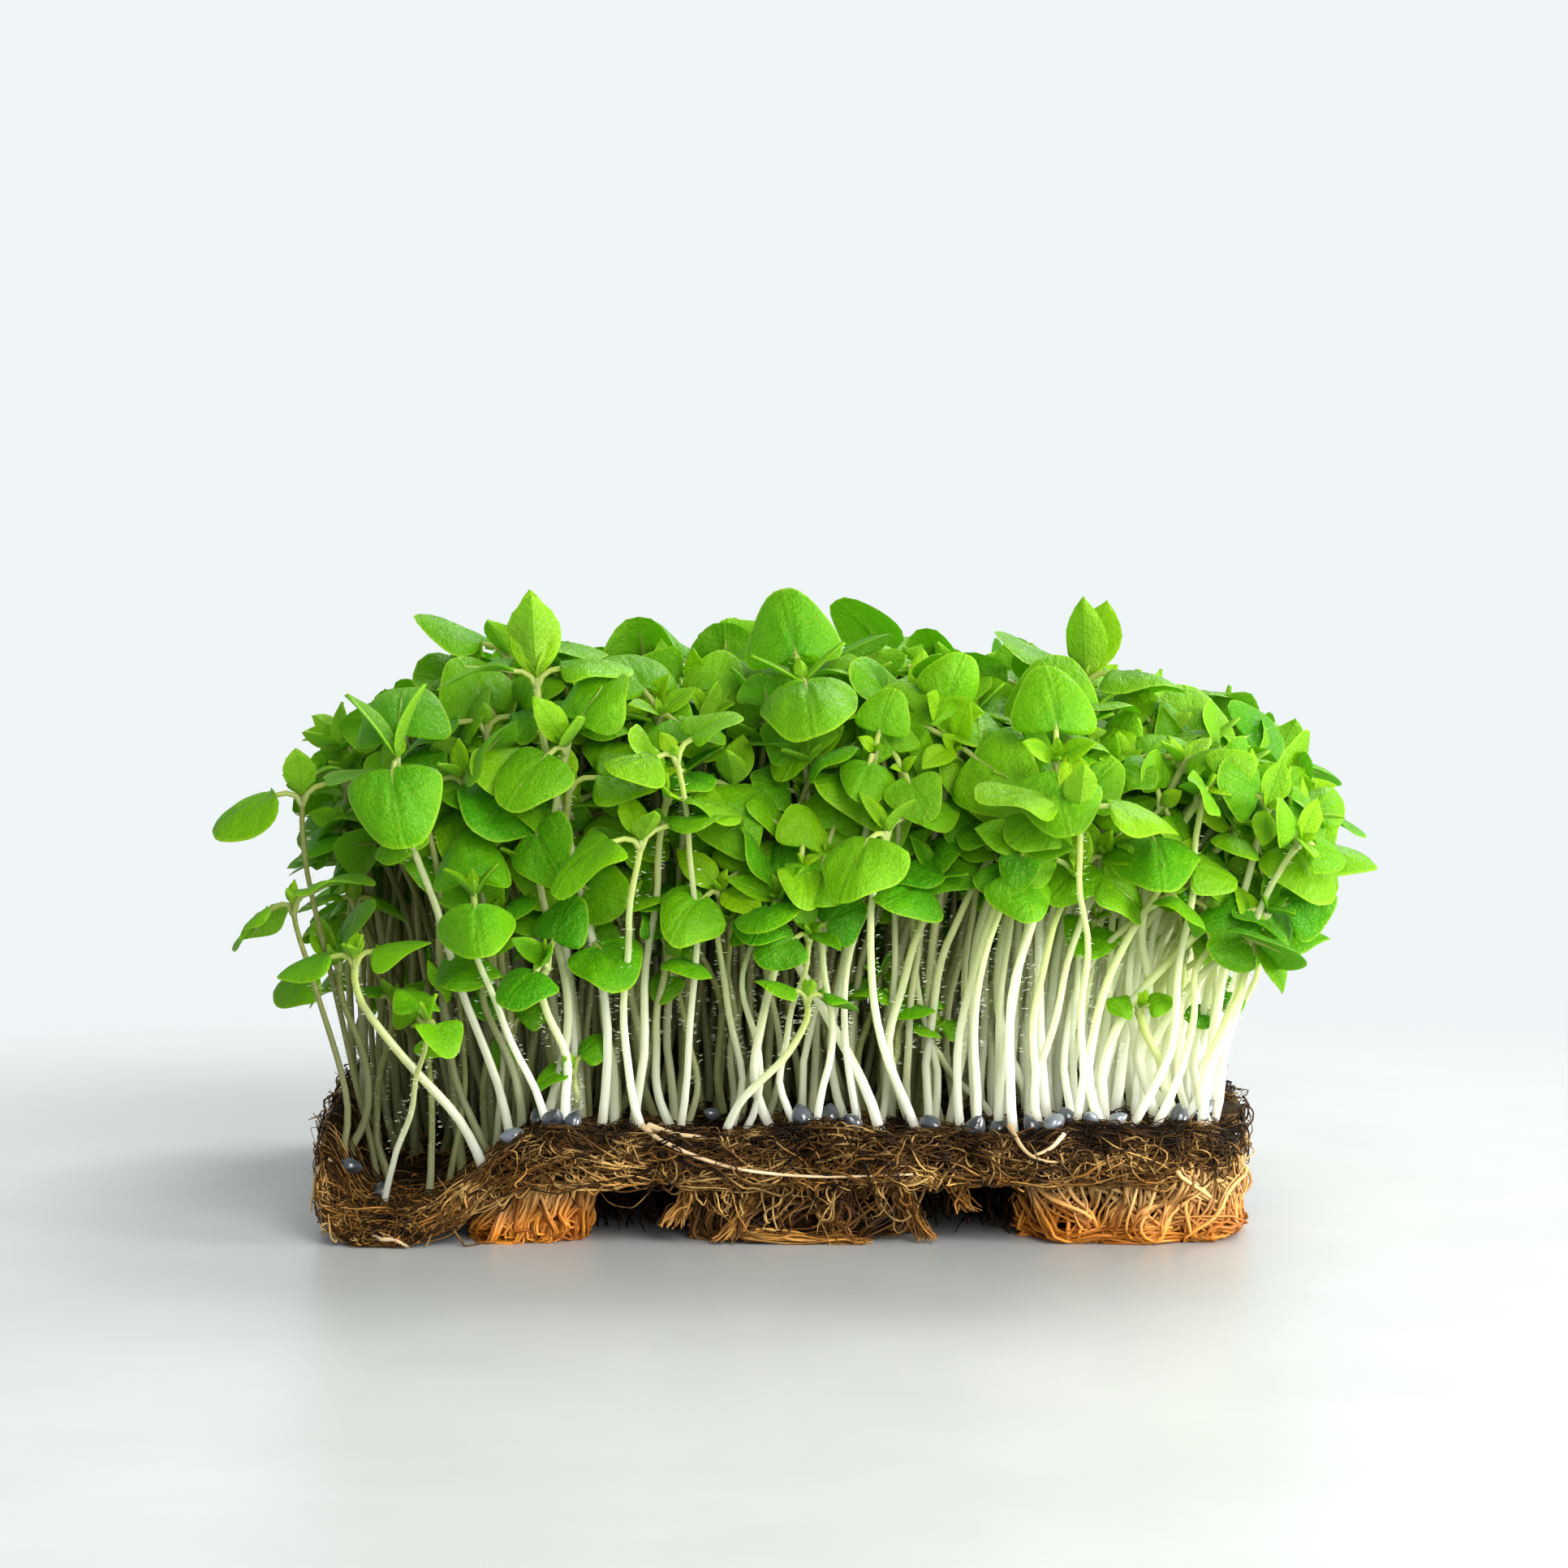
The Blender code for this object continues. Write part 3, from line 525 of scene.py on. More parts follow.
def add_tubes(batch, paths, radii, sides, tints, marks=None):
    """Round strands along paths (s, n, 3) with radii (s, n)."""
    strands, steps = paths.shape[:2]
    ahead = unit(np.gradient(paths, axis=1))
    side = unit(np.cross(ahead, np.broadcast_to(TUBE_SIDE, ahead.shape)))
    up = np.cross(side, ahead)
    turns = 2 * np.pi * np.arange(sides) / sides
    ring = side[:, :, None] * np.cos(turns)[:, None] + up[:, :, None] * np.sin(turns)[:, None]
    points = paths[:, :, None] + ring * radii[:, :, None, None]
    tints = np.repeat(tints, steps * sides, axis=0)
    marks = np.repeat(marks_along(paths) if marks is None else marks, sides, axis=1).reshape(-1, 3)
    faces = repeated(grid_faces(steps, sides, closed=True), strands, steps * sides)
    batch.add(points.reshape(-1, 3), faces, tints, marks)


def wander(count, steps, size):
    """Smooth random wanderings to add to paths (count, steps, 3)."""
    t = np.linspace(0, 2 * np.pi, steps)[None, :, None]
    total = np.zeros((count, steps, 3))
    for turns in (0.6, 1.3, 2.4):
        swing = dice.normal(0, size / (0.5 + turns), (count, 1, 3))
        total += swing * np.sin(turns * t + dice.uniform(0, 6.3, (count, 1, 3)))
    return total


# Blades

# how far the edge of a seed leaf is from its stalk, at angles from its tip, for a leaf 10.6 wide
LEAF_ANGLES = (0, 11.5, 20, 29, 38, 50, 62.5, 76, 87, 96.5, 104, 115)
LEAF_REACH = (8.05, 8.1, 7.6, 7.0, 6.45, 6.02, 5.7, 5.51, 5.2, 4.3, 2.5, 0.7)
LEAF_HALF = 5.3
LEAF_LENGTH = 8.4
BLADE = 0.34  # thickness


def add_blades(batch, leaves, ahead, sideways, lift, thickness, marks, faces):
    """Closed blades: places along, across and out of each leaf, thickened to both sides."""
    origin, along, across, up, _, tint = leaves
    middle = (
        origin[:, None]
        + along[:, None] * ahead[..., None]
        + across[:, None] * sideways[..., None]
        + up[:, None] * lift[..., None]
    )
    blades, count = middle.shape[:2]
    half = up[:, None] * (0.5 * thickness)[..., None]
    points = np.concatenate([middle + half, middle - half], axis=1)
    faces = repeated(np.concatenate([faces, faces[:, ::-1] + count]), blades, 2 * count)
    tints = np.repeat(tint, 2 * count, axis=0)
    tints[:, 2] = np.tile(np.repeat((0, 1), count), blades)  # 1 on the lower face
    marks = np.broadcast_to(marks, middle.shape)
    marks = np.concatenate([marks, marks], axis=1)
    batch.add(points.reshape(-1, 3), faces, tints, marks.reshape(-1, 3))


def add_seed_leaves(batch, leaves, rings, spokes):
    """Seed leaves from rows of (origin, along, across, up, width, tint), each with its own small waves."""
    leaves = [np.array(column, dtype=float) for column in zip(*leaves)]
    angles = np.radians(np.linspace(-LEAF_ANGLES[-1], LEAF_ANGLES[-1], spokes))
    r, angle = np.meshgrid(1 - (1 - np.linspace(0.04, 1, rings)) ** 1.35, angles, indexing="ij")
    r, angle = r.ravel(), angle.ravel()
    degrees = np.degrees(np.abs(angle))
    reach = 0.4 * np.interp(degrees, LEAF_ANGLES, LEAF_REACH)
    for shift in (-4, 4):
        reach += 0.3 * np.interp(degrees + shift, LEAF_ANGLES, LEAF_REACH)
    x = r * reach * np.sin(angle) / LEAF_HALF
    y = r * reach * np.cos(angle) / LEAF_LENGTH
    width = leaves[4][:, None]
    size = width.shape
    half = 0.5 * width
    length = SEED_LEAF_LENGTH * width
    skew = dice.normal(0, 0.09, size)
    wave = dice.normal(0, 0.125, size) * np.cos(2 * angle + dice.uniform(0, 6.3, size))
    ripple = dice.normal(0, 0.06, size) * np.cos(5 * angle + dice.uniform(0, 6.3, size))
    taper = dice.uniform(-0.12, 0.26, size)
    x = x * (1 - taper * np.maximum(y, 0) ** 2) * (1 + 0.04 * taper)
    arch = SEED_LEAF_ARCH + dice.normal(0.08, 0.16, size)
    droop = SEED_LEAF_DROOP + dice.normal(0, 0.12, size)
    rolled = dice.normal(0.08, 0.06, size) * r**5
    puffed = 0.045 * (1 - r**4) * (np.abs(np.sin(2.2 * np.pi * x / (np.abs(y) + 0.45))) - 0.5)
    crease = -0.05 * np.exp(-((x / 0.07) ** 2)) * (1 - r)
    shape = r * r * (wave + ripple) - rolled + puffed + crease
    lift = -arch * half * x * x - droop * length * np.maximum(y, 0) ** 2 + half * shape
    sideways = half * x + skew * length * y * y
    thickness = BLADE * np.sqrt(np.maximum(1 - r**6, 0)) * (0.8 + 0.4 * (1 - r))
    marks = np.stack(np.broadcast_arrays(x, y, r), -1)
    add_blades(batch, leaves, length * y, sideways, lift, thickness, marks, grid_faces(rings, spokes))


def add_true_leaves(batch, leaves, steps, lanes):
    """Pointed leaves, folded along the rib, from rows of (origin, along, across, up, length, tint)."""
    leaves = [np.array(column, dtype=float) for column in zip(*leaves)]
    u, v = np.meshgrid(np.linspace(0, 1, steps) ** 1.1, np.linspace(-1, 1, lanes), indexing="ij")
    u, v = u.ravel(), v.ravel()
    side = np.abs(v)
    length = leaves[4][:, None]
    size = length.shape
    outline = 3.2 * u**0.75 * (1 - u) ** 0.95
    teeth = 1 + 0.035 * np.cos(34 * u) * side**3 * (u > 0.35)
    half = TRUE_LEAF_WIDTH * length * outline * (1 + dice.normal(0, 0.09, size)) * teeth
    fold = TRUE_LEAF_FOLD + dice.normal(0, 0.16, size)
    curl = TRUE_LEAF_CURL + dice.normal(0.02, 0.06, size)
    ridge = np.sqrt(v * v + 0.01) - 0.1
    quilt = 0.05 * np.cos(2 * np.pi * (4.5 * u - 1.2 * side)) * side * (1 - v * v)
    lift = fold * ridge * half - curl * length * u * u + quilt * half - 0.16 * half * v * v
    thickness = BLADE * np.sqrt(np.maximum(1 - v**4, 0)) * (1 + 0.6 * (side < 0.1))
    marks = np.stack([v, u, np.maximum(side, u**4)], -1)
    add_blades(batch, leaves, length * u, half * v, lift, thickness, marks, grid_faces(steps, lanes))


# The crowd

INFILL_SPACING = 2.7
INFILL_TRIES = 8
INFILL_CLEAR = 1.9  # from the foot of one stem to the next
INFILL_REACH = (0.95, 0.93)  # share of the mat's width and depth that the crowd stands on
CROWD_CELL = 1.9
SPARSE_ZONE = (-14, 8, -16)  # between these x and in front of this y the stems stand further apart
SPARSE_SHARE = 0.4
OPEN_CORNER = (-34, -5)  # left of this and in front of it few stems stand in the dip of the mat
OPEN_SHARE = 0.94
# heads along the rim end up to this far under the crown: from place to place in x, and the drops there
RIM_DROP_FRONT = ((-10, 20), (26, 14))
RIM_DROP_SIDE = ((-10, 10), (16, 9))
RIM_DROP_BACK = 30
HEAD_NOD = 56  # degrees that a head leans at the edge of the crowd
SOURCE_NOD = 8  # the same for the sprouts that the source has


def cells_of(sprout):
    """The cells of a coarse grid that a sprout's sample points fall in."""
    return {tuple(int(c // CROWD_CELL) for c in point) for point in sample_points(sprout)}


def rim_drop(base, front):
    """How far under the crown a head may end at the rim."""
    if base.y > 20:
        return RIM_DROP_BACK
    return np.interp(base.x, *(RIM_DROP_FRONT if front else RIM_DROP_SIDE))


def crowd_sprout(base):
    """One more sprout for the crowd. Near the edges it leans out and may end lower."""
    sprout = random_sprout(rng, base, Vector((rng.gauss(0, 2.5), rng.gauss(0, 2.5), 0)))
    front = smooth(20, 34, -base.y)
    rim = max(smooth(26, 40, abs(base.x)), smooth(20, 34, abs(base.y)))
    if front:
        sprout.top.y = max(base.y - rng.uniform(-1, 6), TOP_LIMITS[1][0] + 1)
    highest = crown_height(sprout.top.x, sprout.top.y) - 1
    if rim:
        sprout.top.z = highest - rim_drop(base, front) * rim * rng.random()
    sprout.top.z = min(sprout.top.z, highest)
    lean = (sprout.top - base) * min((sprout.top.z - base.z) / (highest - base.z), 1)
    sprout.top.x = base.x + lean.x
    sprout.top.y = base.y + lean.y
    sprout.bow = Vector((rng.gauss(0, 3.9), rng.gauss(0, 2.6), 0))
    late = 0.5 + 0.32 * smooth(-5, 25, base.x)  # stems on the right stay upright until near their top
    sprout.hook = Vector((rng.gauss(0, 2) - late * lean.x, rng.gauss(0, 2) - late * lean.y, 0))
    sprout.width *= rng.triangular(0.62, 1.06, 0.98)
    if rng.random() < 0.5 and not sprout.true_length:
        sprout.true_length = rng.uniform(4, 7)
    sprout.true_length *= 0.85
    sprout.true_pitch = math.radians(rng.uniform(15, 66))
    sprout.pitches = tuple(math.radians(rng.uniform(-22, 40)) for _ in (0, 1))
    sprout.nod = HEAD_NOD
    return sprout


def kept_open(x, y):
    """Whether a place in the dip or between the middle stems stays free."""
    if SPARSE_ZONE[0] < x < SPARSE_ZONE[1] and y < SPARSE_ZONE[2] and rng.random() < SPARSE_SHARE:
        return True
    return x < OPEN_CORNER[0] and y < OPEN_CORNER[1] and rng.random() < OPEN_SHARE


def crowd(holes):
    """More sprouts between those of the source, each in the least crowded place of a few tries."""
    taken = {cell for hole in holes for sprout in hole for cell in cells_of(sprout)}
    bases = [sprout.base for hole in holes for sprout in hole]
    made = []
    columns = int(MAT_WIDTH / INFILL_SPACING)
    rows = int(MAT_DEPTH / INFILL_SPACING)
    for i in range(columns):
        for j in range(rows):
            a = 2 * (i + rng.uniform(0.1, 0.9)) / columns - 1
            b = 2 * (j + rng.uniform(0.1, 0.9)) / rows - 1
            x, y = mat_outline_point(INFILL_REACH[0] * a, INFILL_REACH[1] * b)
            if kept_open(x, y):
                continue
            base = Vector((x, y, mat_top(x, y)))
            if min((base - other).length for other in bases) < INFILL_CLEAR:
                continue
            tries = [crowd_sprout(base) for _ in range(INFILL_TRIES)]
            best = min(tries, key=lambda tried: len(cells_of(tried) & taken))
            taken |= cells_of(best)
            bases.append(base)
            made.append(best)
    return made


# Young sprouts low between the front stems: x, y, height, heading in degrees and width
UNDERGROWTH = (
    (-36, -30, 27, 30, 4.8), (-33, -28, 26, 100, 4.6), (-39.5, -33, 22, -60, 5.2),
    (-30, -31, 22, 200, 4.8), (-23, -36, 18.5, 20, 4.4), (-27, -26, 31, 70, 5.4),
    (-6.5, -30, 33, 10, 6.2), (10.5, -31, 27.5, -40, 4.8), (13, -34, 24.5, 120, 4.6),
    (16.5, -33, 22, 60, 3.8), (14.5, -36, 40, 160, 6.2), (34.5, -32, 34.5, 75, 6.8),
    (39, -35, 25, 15, 3.4), (48, -24, 23, 40, 3.6), (44, -30, 34, -10, 5.4),
    (-16, -27, 37, 130, 5.8), (-44, -22, 24, 150, 4.6), (24, -30, 36, 10, 5.2),
    (3, -28, 37, 100, 5.4), (-12, -33, 29, 60, 4.2),
)


def undergrowth():
    """The young sprouts low between the front stems."""
    made = []
    for x, y, height, heading, width in UNDERGROWTH:
        base = Vector((x + rng.gauss(0, 1.2), y + 1.5, 0))
        base.z = mat_top(base.x, base.y)
        bow = Vector((rng.gauss(0, 1.5), rng.gauss(0, 1), 0))
        pitches = tuple(math.radians(rng.uniform(-20, 45)) for _ in (0, 1))
        top = Vector((x, y, height))
        heading = math.radians(heading)
        made.append(Sprout(base, top, bow, 0.3 * bow, heading, pitches, width, 0, 0, HEAD_NOD))
    return made


def nod_of(sprout):
    """How a head leans: outwards at the edges of the crowd, a little any way inside it."""
    x = sprout.top.x / CROWN_HALF_WIDTH
    y = sprout.top.y / CROWN_HALF_DEPTH
    out = Vector((x * abs(x) + rng.gauss(0, 0.35), y * abs(y) ** 0.6 + rng.gauss(0, 0.35), 0))
    axis = Vector((-out.y, out.x, 0)).normalized()
    return Matrix.Rotation(min(out.length, 1.2) * math.radians(sprout.nod), 3, axis)


def shade_of(sprout):
    """How much painted shade a stem gets, from 0 to 1, by how deep in the crowd it stands. Light reaches
    further in on the right.
    """
    x, y, _ = sprout.base
    depth = min(HALF_DEPTH - abs(y), HALF_WIDTH - x if x > 0 else HALF_WIDTH + 8 + x)
    return smooth(2, 13, depth) * (1 - smooth(15, 30, x))


def turned(nod, heading, pitch):
    """The axes of a leaf, turned with its head."""
    return [nod @ axis for axis in leaf_axes(heading, pitch)]


def tint_near(tint, shift, spread):
    """A leaf's own tint, near that of its sprout."""
    return (tint[0] + shift + rng.gauss(0, spread), tint[1] + shift + rng.gauss(0, spread + 0.01), 0)


def blade_rows(sprouts, tints):
    """Rows for the seed leaves, the true leaves, the buds and the stalks of some sprouts."""
    seed_leaves = []
    true_leaves = []
    buds = []
    stalks = []
    for sprout, tint in zip(sprouts, tints):
        hub = sprout.top + Vector((0, 0, 0.5 * HUB_HEIGHT))
        nod = nod_of(sprout)
        for side in (0, 1):
            heading = sprout.heading + math.pi * side
            along, across, up = turned(nod, heading, sprout.pitches[side])
            places = [seed_leaf_point(sprout, side, u, 0) for u in (0, 0.25, 0.62)]
            origin, near, far = (hub + nod @ (place - hub) for place in places)
            seed_leaves.append((origin, along, across, up, sprout.width, tint_near(tint, 0, 0.06)))
            under = -0.36 * up
            knee = hub.lerp(origin, 0.5) + Vector((0, 0, 0.25))
            start = sprout.top - Vector((0, 0, 0.4))
            rib = (origin + 0.8 * under, near + under, far + 0.9 * under)
            stalks.append((start, hub.lerp(knee, 0.4), knee, *rib))
            crosswise = heading + math.pi / 2
            if sprout.true_length:
                axes = turned(nod, crosswise, sprout.true_pitch)
                start = hub + axes[0] * (0.7 * STEM_TOP_RADIUS)
                true_leaves.append((start, *axes, sprout.true_length, tint_near(tint, 0.12, 0.05)))
            bud_heading = heading if sprout.true_length else crosswise
            axes = turned(nod, bud_heading, math.radians(rng.uniform(55, 80)))
            bud_tint = (tint[0] + 0.3, tint[1] + 0.3, 0)
            buds.append((hub + axes[0] * 0.2, *axes, rng.uniform(1.8, 3.2), bud_tint))
    return seed_leaves, true_leaves, buds, stalks


# radii of a stem at places along it and at its ends in the mat and among the leaves, of the stalk that runs
# on under a blade, and of a hair
STEM_PLACES = (0, 0.12, 0.6, 0.93, 1)
STEM_RADII = (0.59, 0.51, 0.43, 0.39, 0.45)
STEM_END_RADII = (0.64, 0.32)
STEM_BURIED = 1.4  # how far a stem goes down into the mat
STEM_WOBBLE = 0.5
STALK_RADII = (0.38, 0.35, 0.31, 0.30, 0.20, 0.05)
STALK_MARKS = (1, 1, 1.05, 1.1, 1.15, 1.2)
HAIR_RADII = (0.035, 0.024, 0.008)


def add_stems(batch, sprouts, tints, sides, steps):
    """Round stems that widen towards the mat and go on a little way into it."""
    shares = np.linspace(0, 1, steps)
    paths = []
    for sprout in sprouts:
        path = [stem_point(sprout, t) for t in shares]
        path.insert(0, sprout.base - Vector((0, 0, STEM_BURIED)))
        path.append(sprout.top + Vector((0, 0, 0.75 * HUB_HEIGHT)))
        paths.append(path)
    paths = np.array(paths, dtype=float)
    wobble = wander(len(sprouts), paths.shape[1], STEM_WOBBLE) * (1, 1, 0)
    wobble *= np.interp(np.arange(paths.shape[1]), (1, 4, steps - 4, steps), (0, 1, 1, 0))[:, None]
    low, high = STEM_END_RADII
    radius = np.array([low, *np.interp(shares, STEM_PLACES, STEM_RADII), high])
    thick = dice.uniform(0.72, 1.06, (len(sprouts), 1))
    thick *= np.interp(paths[:, :1, 0], (5, 30), (1, 1.12))
    marks = marks_along(paths, np.concatenate([[0], shares, [1]]))
    add_tubes(batch, paths + wobble, radius * thick, sides, np.array(tints), marks)


def add_stalks(batch, stalks, tints):
    """The stalks of the seed leaves, each running out under its blade as a rib."""
    paths = np.array(stalks, dtype=float)
    radii = np.broadcast_to(STALK_RADII, paths.shape[:2])
    add_tubes(batch, paths, radii, 7, np.repeat(tints, 2, axis=0), marks_along(paths, STALK_MARKS))


def add_hairs(batch, sprouts, per_stem):
    """Fine short hairs on the upper part of stems."""
    paths = []
    for sprout in sprouts:
        for _ in range(per_stem):
            start = np.array(stem_point(sprout, rng.uniform(0.25, 1)))
            out = np.array(leaf_axes(rng.uniform(0, 2 * math.pi), rng.uniform(-0.3, 0.6))[0])
            reach = 0.55 + rng.uniform(0.25, 0.5)
            middle = start + out * 0.5 * (0.45 + reach)
            paths.append([start + out * 0.45, middle, start + out * reach + (0, 0, -0.05)])
    paths = np.array(paths)
    add_tubes(batch, paths, np.broadcast_to(HAIR_RADII, paths.shape[:2]), 3, np.zeros((len(paths), 3)))


# The mat

ROUND_LENGTH = 2 * (MAT_WIDTH + MAT_DEPTH)
FRONT = (0, MAT_WIDTH / ROUND_LENGTH)  # from where to where the front is, in turns round the mat
HANGING_FRONT = (0.108, 0.180)  # the same between the left and the right foot


def rough(x, y, z, size):
    """Uneven noise from -1 to 1 with bumps of about that size."""
    return noise.noise(Vector((x, y, z)) / size)


def pushed_out(x, y, push):
    """A place moved away from the middle of the mat."""
    reach = math.hypot(x / HALF_WIDTH, y / HALF_DEPTH)
    return x + push * x / HALF_WIDTH / reach, y + push * y / HALF_DEPTH / reach


def make_mat_core(material):
    """The body of the mat, lumpy all over, with a crumbling edge."""
    across, back, levels = 171, 141, 7
    columns = 0.99 * np.linspace(-1, 1, across)
    rows = 0.99 * np.linspace(-1, 1, back)
    grid = [mat_outline_point(a, b) for b in rows for a in columns]
    count = len(grid)
    points = []
    for x, y in grid:
        lump = 0.5 * rough(x, y, 0, 3.1) + 0.42 * rough(x, y, 7, 1.1) + 0.25 * rough(x, y, 3, 0.5)
        points.append((x, y, mat_top(x, y) - 0.25 + lump))
    for x, y in grid:
        lump = 0.5 * rough(x, y, 20, 3.1) + 0.5 * rough(x, y, 30, 1.2)
        points.append((x, y, max(mat_underside(x, y) + 0.2 + lump, 0.12)))
    top = grid_faces(back, across)
    faces = [top, top[:, ::-1] + count]
    places = np.arange(count).reshape(back, across)
    rim = np.concatenate([places[0], places[1:, -1], places[-1, -2::-1], places[-2:0:-1, 0]])
    rings = [rim]
    for level in range(1, levels):
        share = level / levels
        rings.append(len(points) + np.arange(len(rim)))
        for k in rim:
            x, y, high = points[k]
            z = high + (points[k + count][2] - high) * share
            push = 0.9 * rough(x, y, z, 2.2) + 0.6 * rough(x, y, z + 9, 0.8) - 0.5 - 0.6 * share
            points.append((*pushed_out(x, y, push), z))
    rings.append(rim + count)
    for upper, lower in zip(rings, rings[1:]):
        faces.append(np.stack([upper, lower, np.roll(lower, -1), np.roll(upper, -1)], -1))
    batch = Batch()
    batch.add(np.array(points), np.concatenate(faces))
    batch.piece("mat_core", material, "growing_mat", ["growing_mat"])


def edge_place(turn):
    """The place on the mat's edge at a turn from 0 to 1 round it, starting at the front left."""
    turn = (turn % 1) * ROUND_LENGTH
    side = 1 if turn < MAT_WIDTH + MAT_DEPTH else -1  # the back and the left run the other way
    turn %= MAT_WIDTH + MAT_DEPTH
    if turn < MAT_WIDTH:
        return mat_outline_point(side * (2 * turn / MAT_WIDTH - 1), -side)
    return mat_outline_point(side, side * (2 * (turn - MAT_WIDTH) / MAT_DEPTH - 1))


# Fibres and roots. Each function that ends in _strand draws one path; strands() calls it for many

def strands(make, count, steps, size, floor=0):
    """Paths (count, steps, 3), each with a small wandering, that stay above a floor."""
    shares = [step / (steps - 1) for step in range(steps)]
    paths = np.array([make(number, shares) for number in range(count)], dtype=float)
    return lifted(paths + wander(count, steps, size), floor)


def lifted(paths, floor):
    """Paths that are raised where they would go under a floor."""
    paths[..., 2] = np.maximum(paths[..., 2], floor)
    return paths


def strand_tints(count):
    """A random hue from dark to pale for each strand."""
    tints = np.zeros((count, 3))
    tints[:, 0] = dice.uniform(0, 1, count)
    tints[:, 1] = dice.uniform(0, 1, count) ** 1.6
    return tints


def strand_radii(paths, low, high):
    """One thickness for each strand, thinner towards its end."""
    taper = np.interp(np.linspace(0, 1, paths.shape[1]), (0, 0.7, 1), (1, 0.9, 0.45))
    return dice.uniform(low, high, (len(paths), 1)) * taper


def front_turn(number, every, front=FRONT):
    """A turn round the mat's edge: anywhere for one strand in every few, else along the front."""
    return rng.uniform(*front) if number % every else rng.random()


def edge_strand(number, shares):
    """A fibre that runs along the torn edge, bulging and looping out of it."""
    start = front_turn(number + 1, 2)
    length = rng.choice((rng.uniform(2, 7), rng.uniform(5, 22))) * rng.choice((-1, 1)) / ROUND_LENGTH
    level = rng.random()
    sag = rng.uniform(-1.8, 1.0)
    out = rng.uniform(-0.7, 0.25)
    loop = rng.uniform(0, 0.9)
    tilt = rng.gauss(0, 0.8)
    path = []
    for t in shares:
        x, y = edge_place(start + length * t)
        bulge = math.sin(math.pi * t)
        low, high = mat_underside(x, y), mat_top(x, y) - 0.2
        share = min(max(level + tilt * (t - 0.5), -0.1), 1)
        z = low + (high - low) * share + 0.6 * sag * bulge * (1 - share)
        path.append((*pushed_out(x, y, out + loop * bulge), z))
    return path


def face_strand(number, shares):
    """A short fibre that curls any way over the torn face of the mat."""
    turn = front_turn(number, 3)
    share = rng.random()
    rise = 0
    heading = rng.uniform(0, 2 * math.pi)
    bend = rng.gauss(0, 0.26)
    stride = rng.choice((rng.uniform(0.12, 0.4), rng.uniform(0.3, 0.95)))
    out = rng.uniform(-0.6, 0.5)
    loop = rng.uniform(0, 0.8)
    path = []
    for t in shares:
        x, y = edge_place(turn)
        low, high = mat_underside(x, y) - 0.3, mat_top(x, y) + 0.3
        z = min(max(low + (high - low) * share + rise, low), high)
        path.append((*pushed_out(x, y, out + loop * math.sin(math.pi * t)), z))
        turn += stride * math.cos(heading) / ROUND_LENGTH
        rise += stride * math.sin(heading)
        heading += bend + rng.gauss(0, 0.2)
    return path


def fringe_strand(number, shares):
    """A frayed end that sticks up and out of the mat's top edge."""
    x, y = edge_place(front_turn(number, 3))
    inward = rng.uniform(0.2, 4)
    x, y = x * (1 - inward / HALF_WIDTH), y * (1 - inward / HALF_DEPTH)
    out = Vector((x / HALF_WIDTH, y / HALF_DEPTH, 0)).normalized()
    ahead = out * rng.uniform(-0.4, 1)
    ahead += Vector((rng.gauss(0, 0.7), rng.gauss(0, 0.3), rng.uniform(0.1, 0.9)))
    ahead *= rng.uniform(0.8, 3.0) / ahead.length
    droop = rng.uniform(0, 1.5)
    start = Vector((x, y, mat_top(x, y) - 0.3))
    return [start + ahead * t - Vector((0, 0, droop * t * t)) for t in shares]


def top_strand(number, shares):
    """A short curled fibre that lies tangled on the mat."""
    b = rng.uniform(-1, 1) if number % 3 else rng.uniform(-1, -0.75)
    x, y = mat_outline_point(rng.uniform(-1, 1), b)
    heading = rng.uniform(0, 6.3)
    bend = rng.gauss(0, 0.32)
    stride = rng.choice((rng.uniform(0.15, 0.5), rng.uniform(0.3, 1.2)))
    rise = rng.uniform(0, 0.9)
    path = []
    for t in shares:
        path.append((x, y, mat_top(x, y) + 0.05 + rise * math.sin(math.pi * t)))
        heading += bend + rng.gauss(0, 0.15)
        x = max(-51, min(51, x + stride * math.cos(heading)))
        y = max(-42, min(41.5, y + stride * math.sin(heading)))
    return path


def hanging_strand(number, shares):
    """A loose root that droops from under the edge and curls up again or reaches the table."""
    start = front_turn(number, 4, HANGING_FRONT)
    along = rng.gauss(0, 3.5) / ROUND_LENGTH
    drop = rng.choice((rng.uniform(0.8, 3), rng.uniform(2, 7.2)))
    curl = rng.choice((0, 0, rng.uniform(0.3, 1)))
    inward = rng.uniform(0, 5)
    path = []
    for t in shares:
        x, y = edge_place(start + along * t)
        shrink = 1 - (0.5 + inward * t) / HALF_DEPTH
        fall = drop * (math.sin(0.5 * math.pi * t) - 1.2 * curl * max(0, t - 0.5))
        path.append((x * shrink, y * shrink, mat_underside(x, y) + 1.2 - fall))
    return path


def under_place():
    """A place under the mat, behind the front hollows, that is clear of the feet."""
    while True:
        x = rng.uniform(-33, 50)
        y = rng.uniform(-33, 38)
        if any(((x - foot[1]) / foot[3]) ** 2 + ((y - foot[2]) / foot[4]) ** 2 < 0.8 for foot in ROOT_FEET):
            continue
        if (x / 50) ** 4 + (y / 40) ** 4 <= 1:
            return x, y


def under_strand(number, shares):
    """A root under the mat that reaches down towards the table, coloured near black as painted shade."""
    x, y = under_place()
    high = mat_underside(x, y) + 0.6
    low = high * rng.random() ** 2 * 0.7
    return [(x, y, high + (low - high) * t) for t in shares]


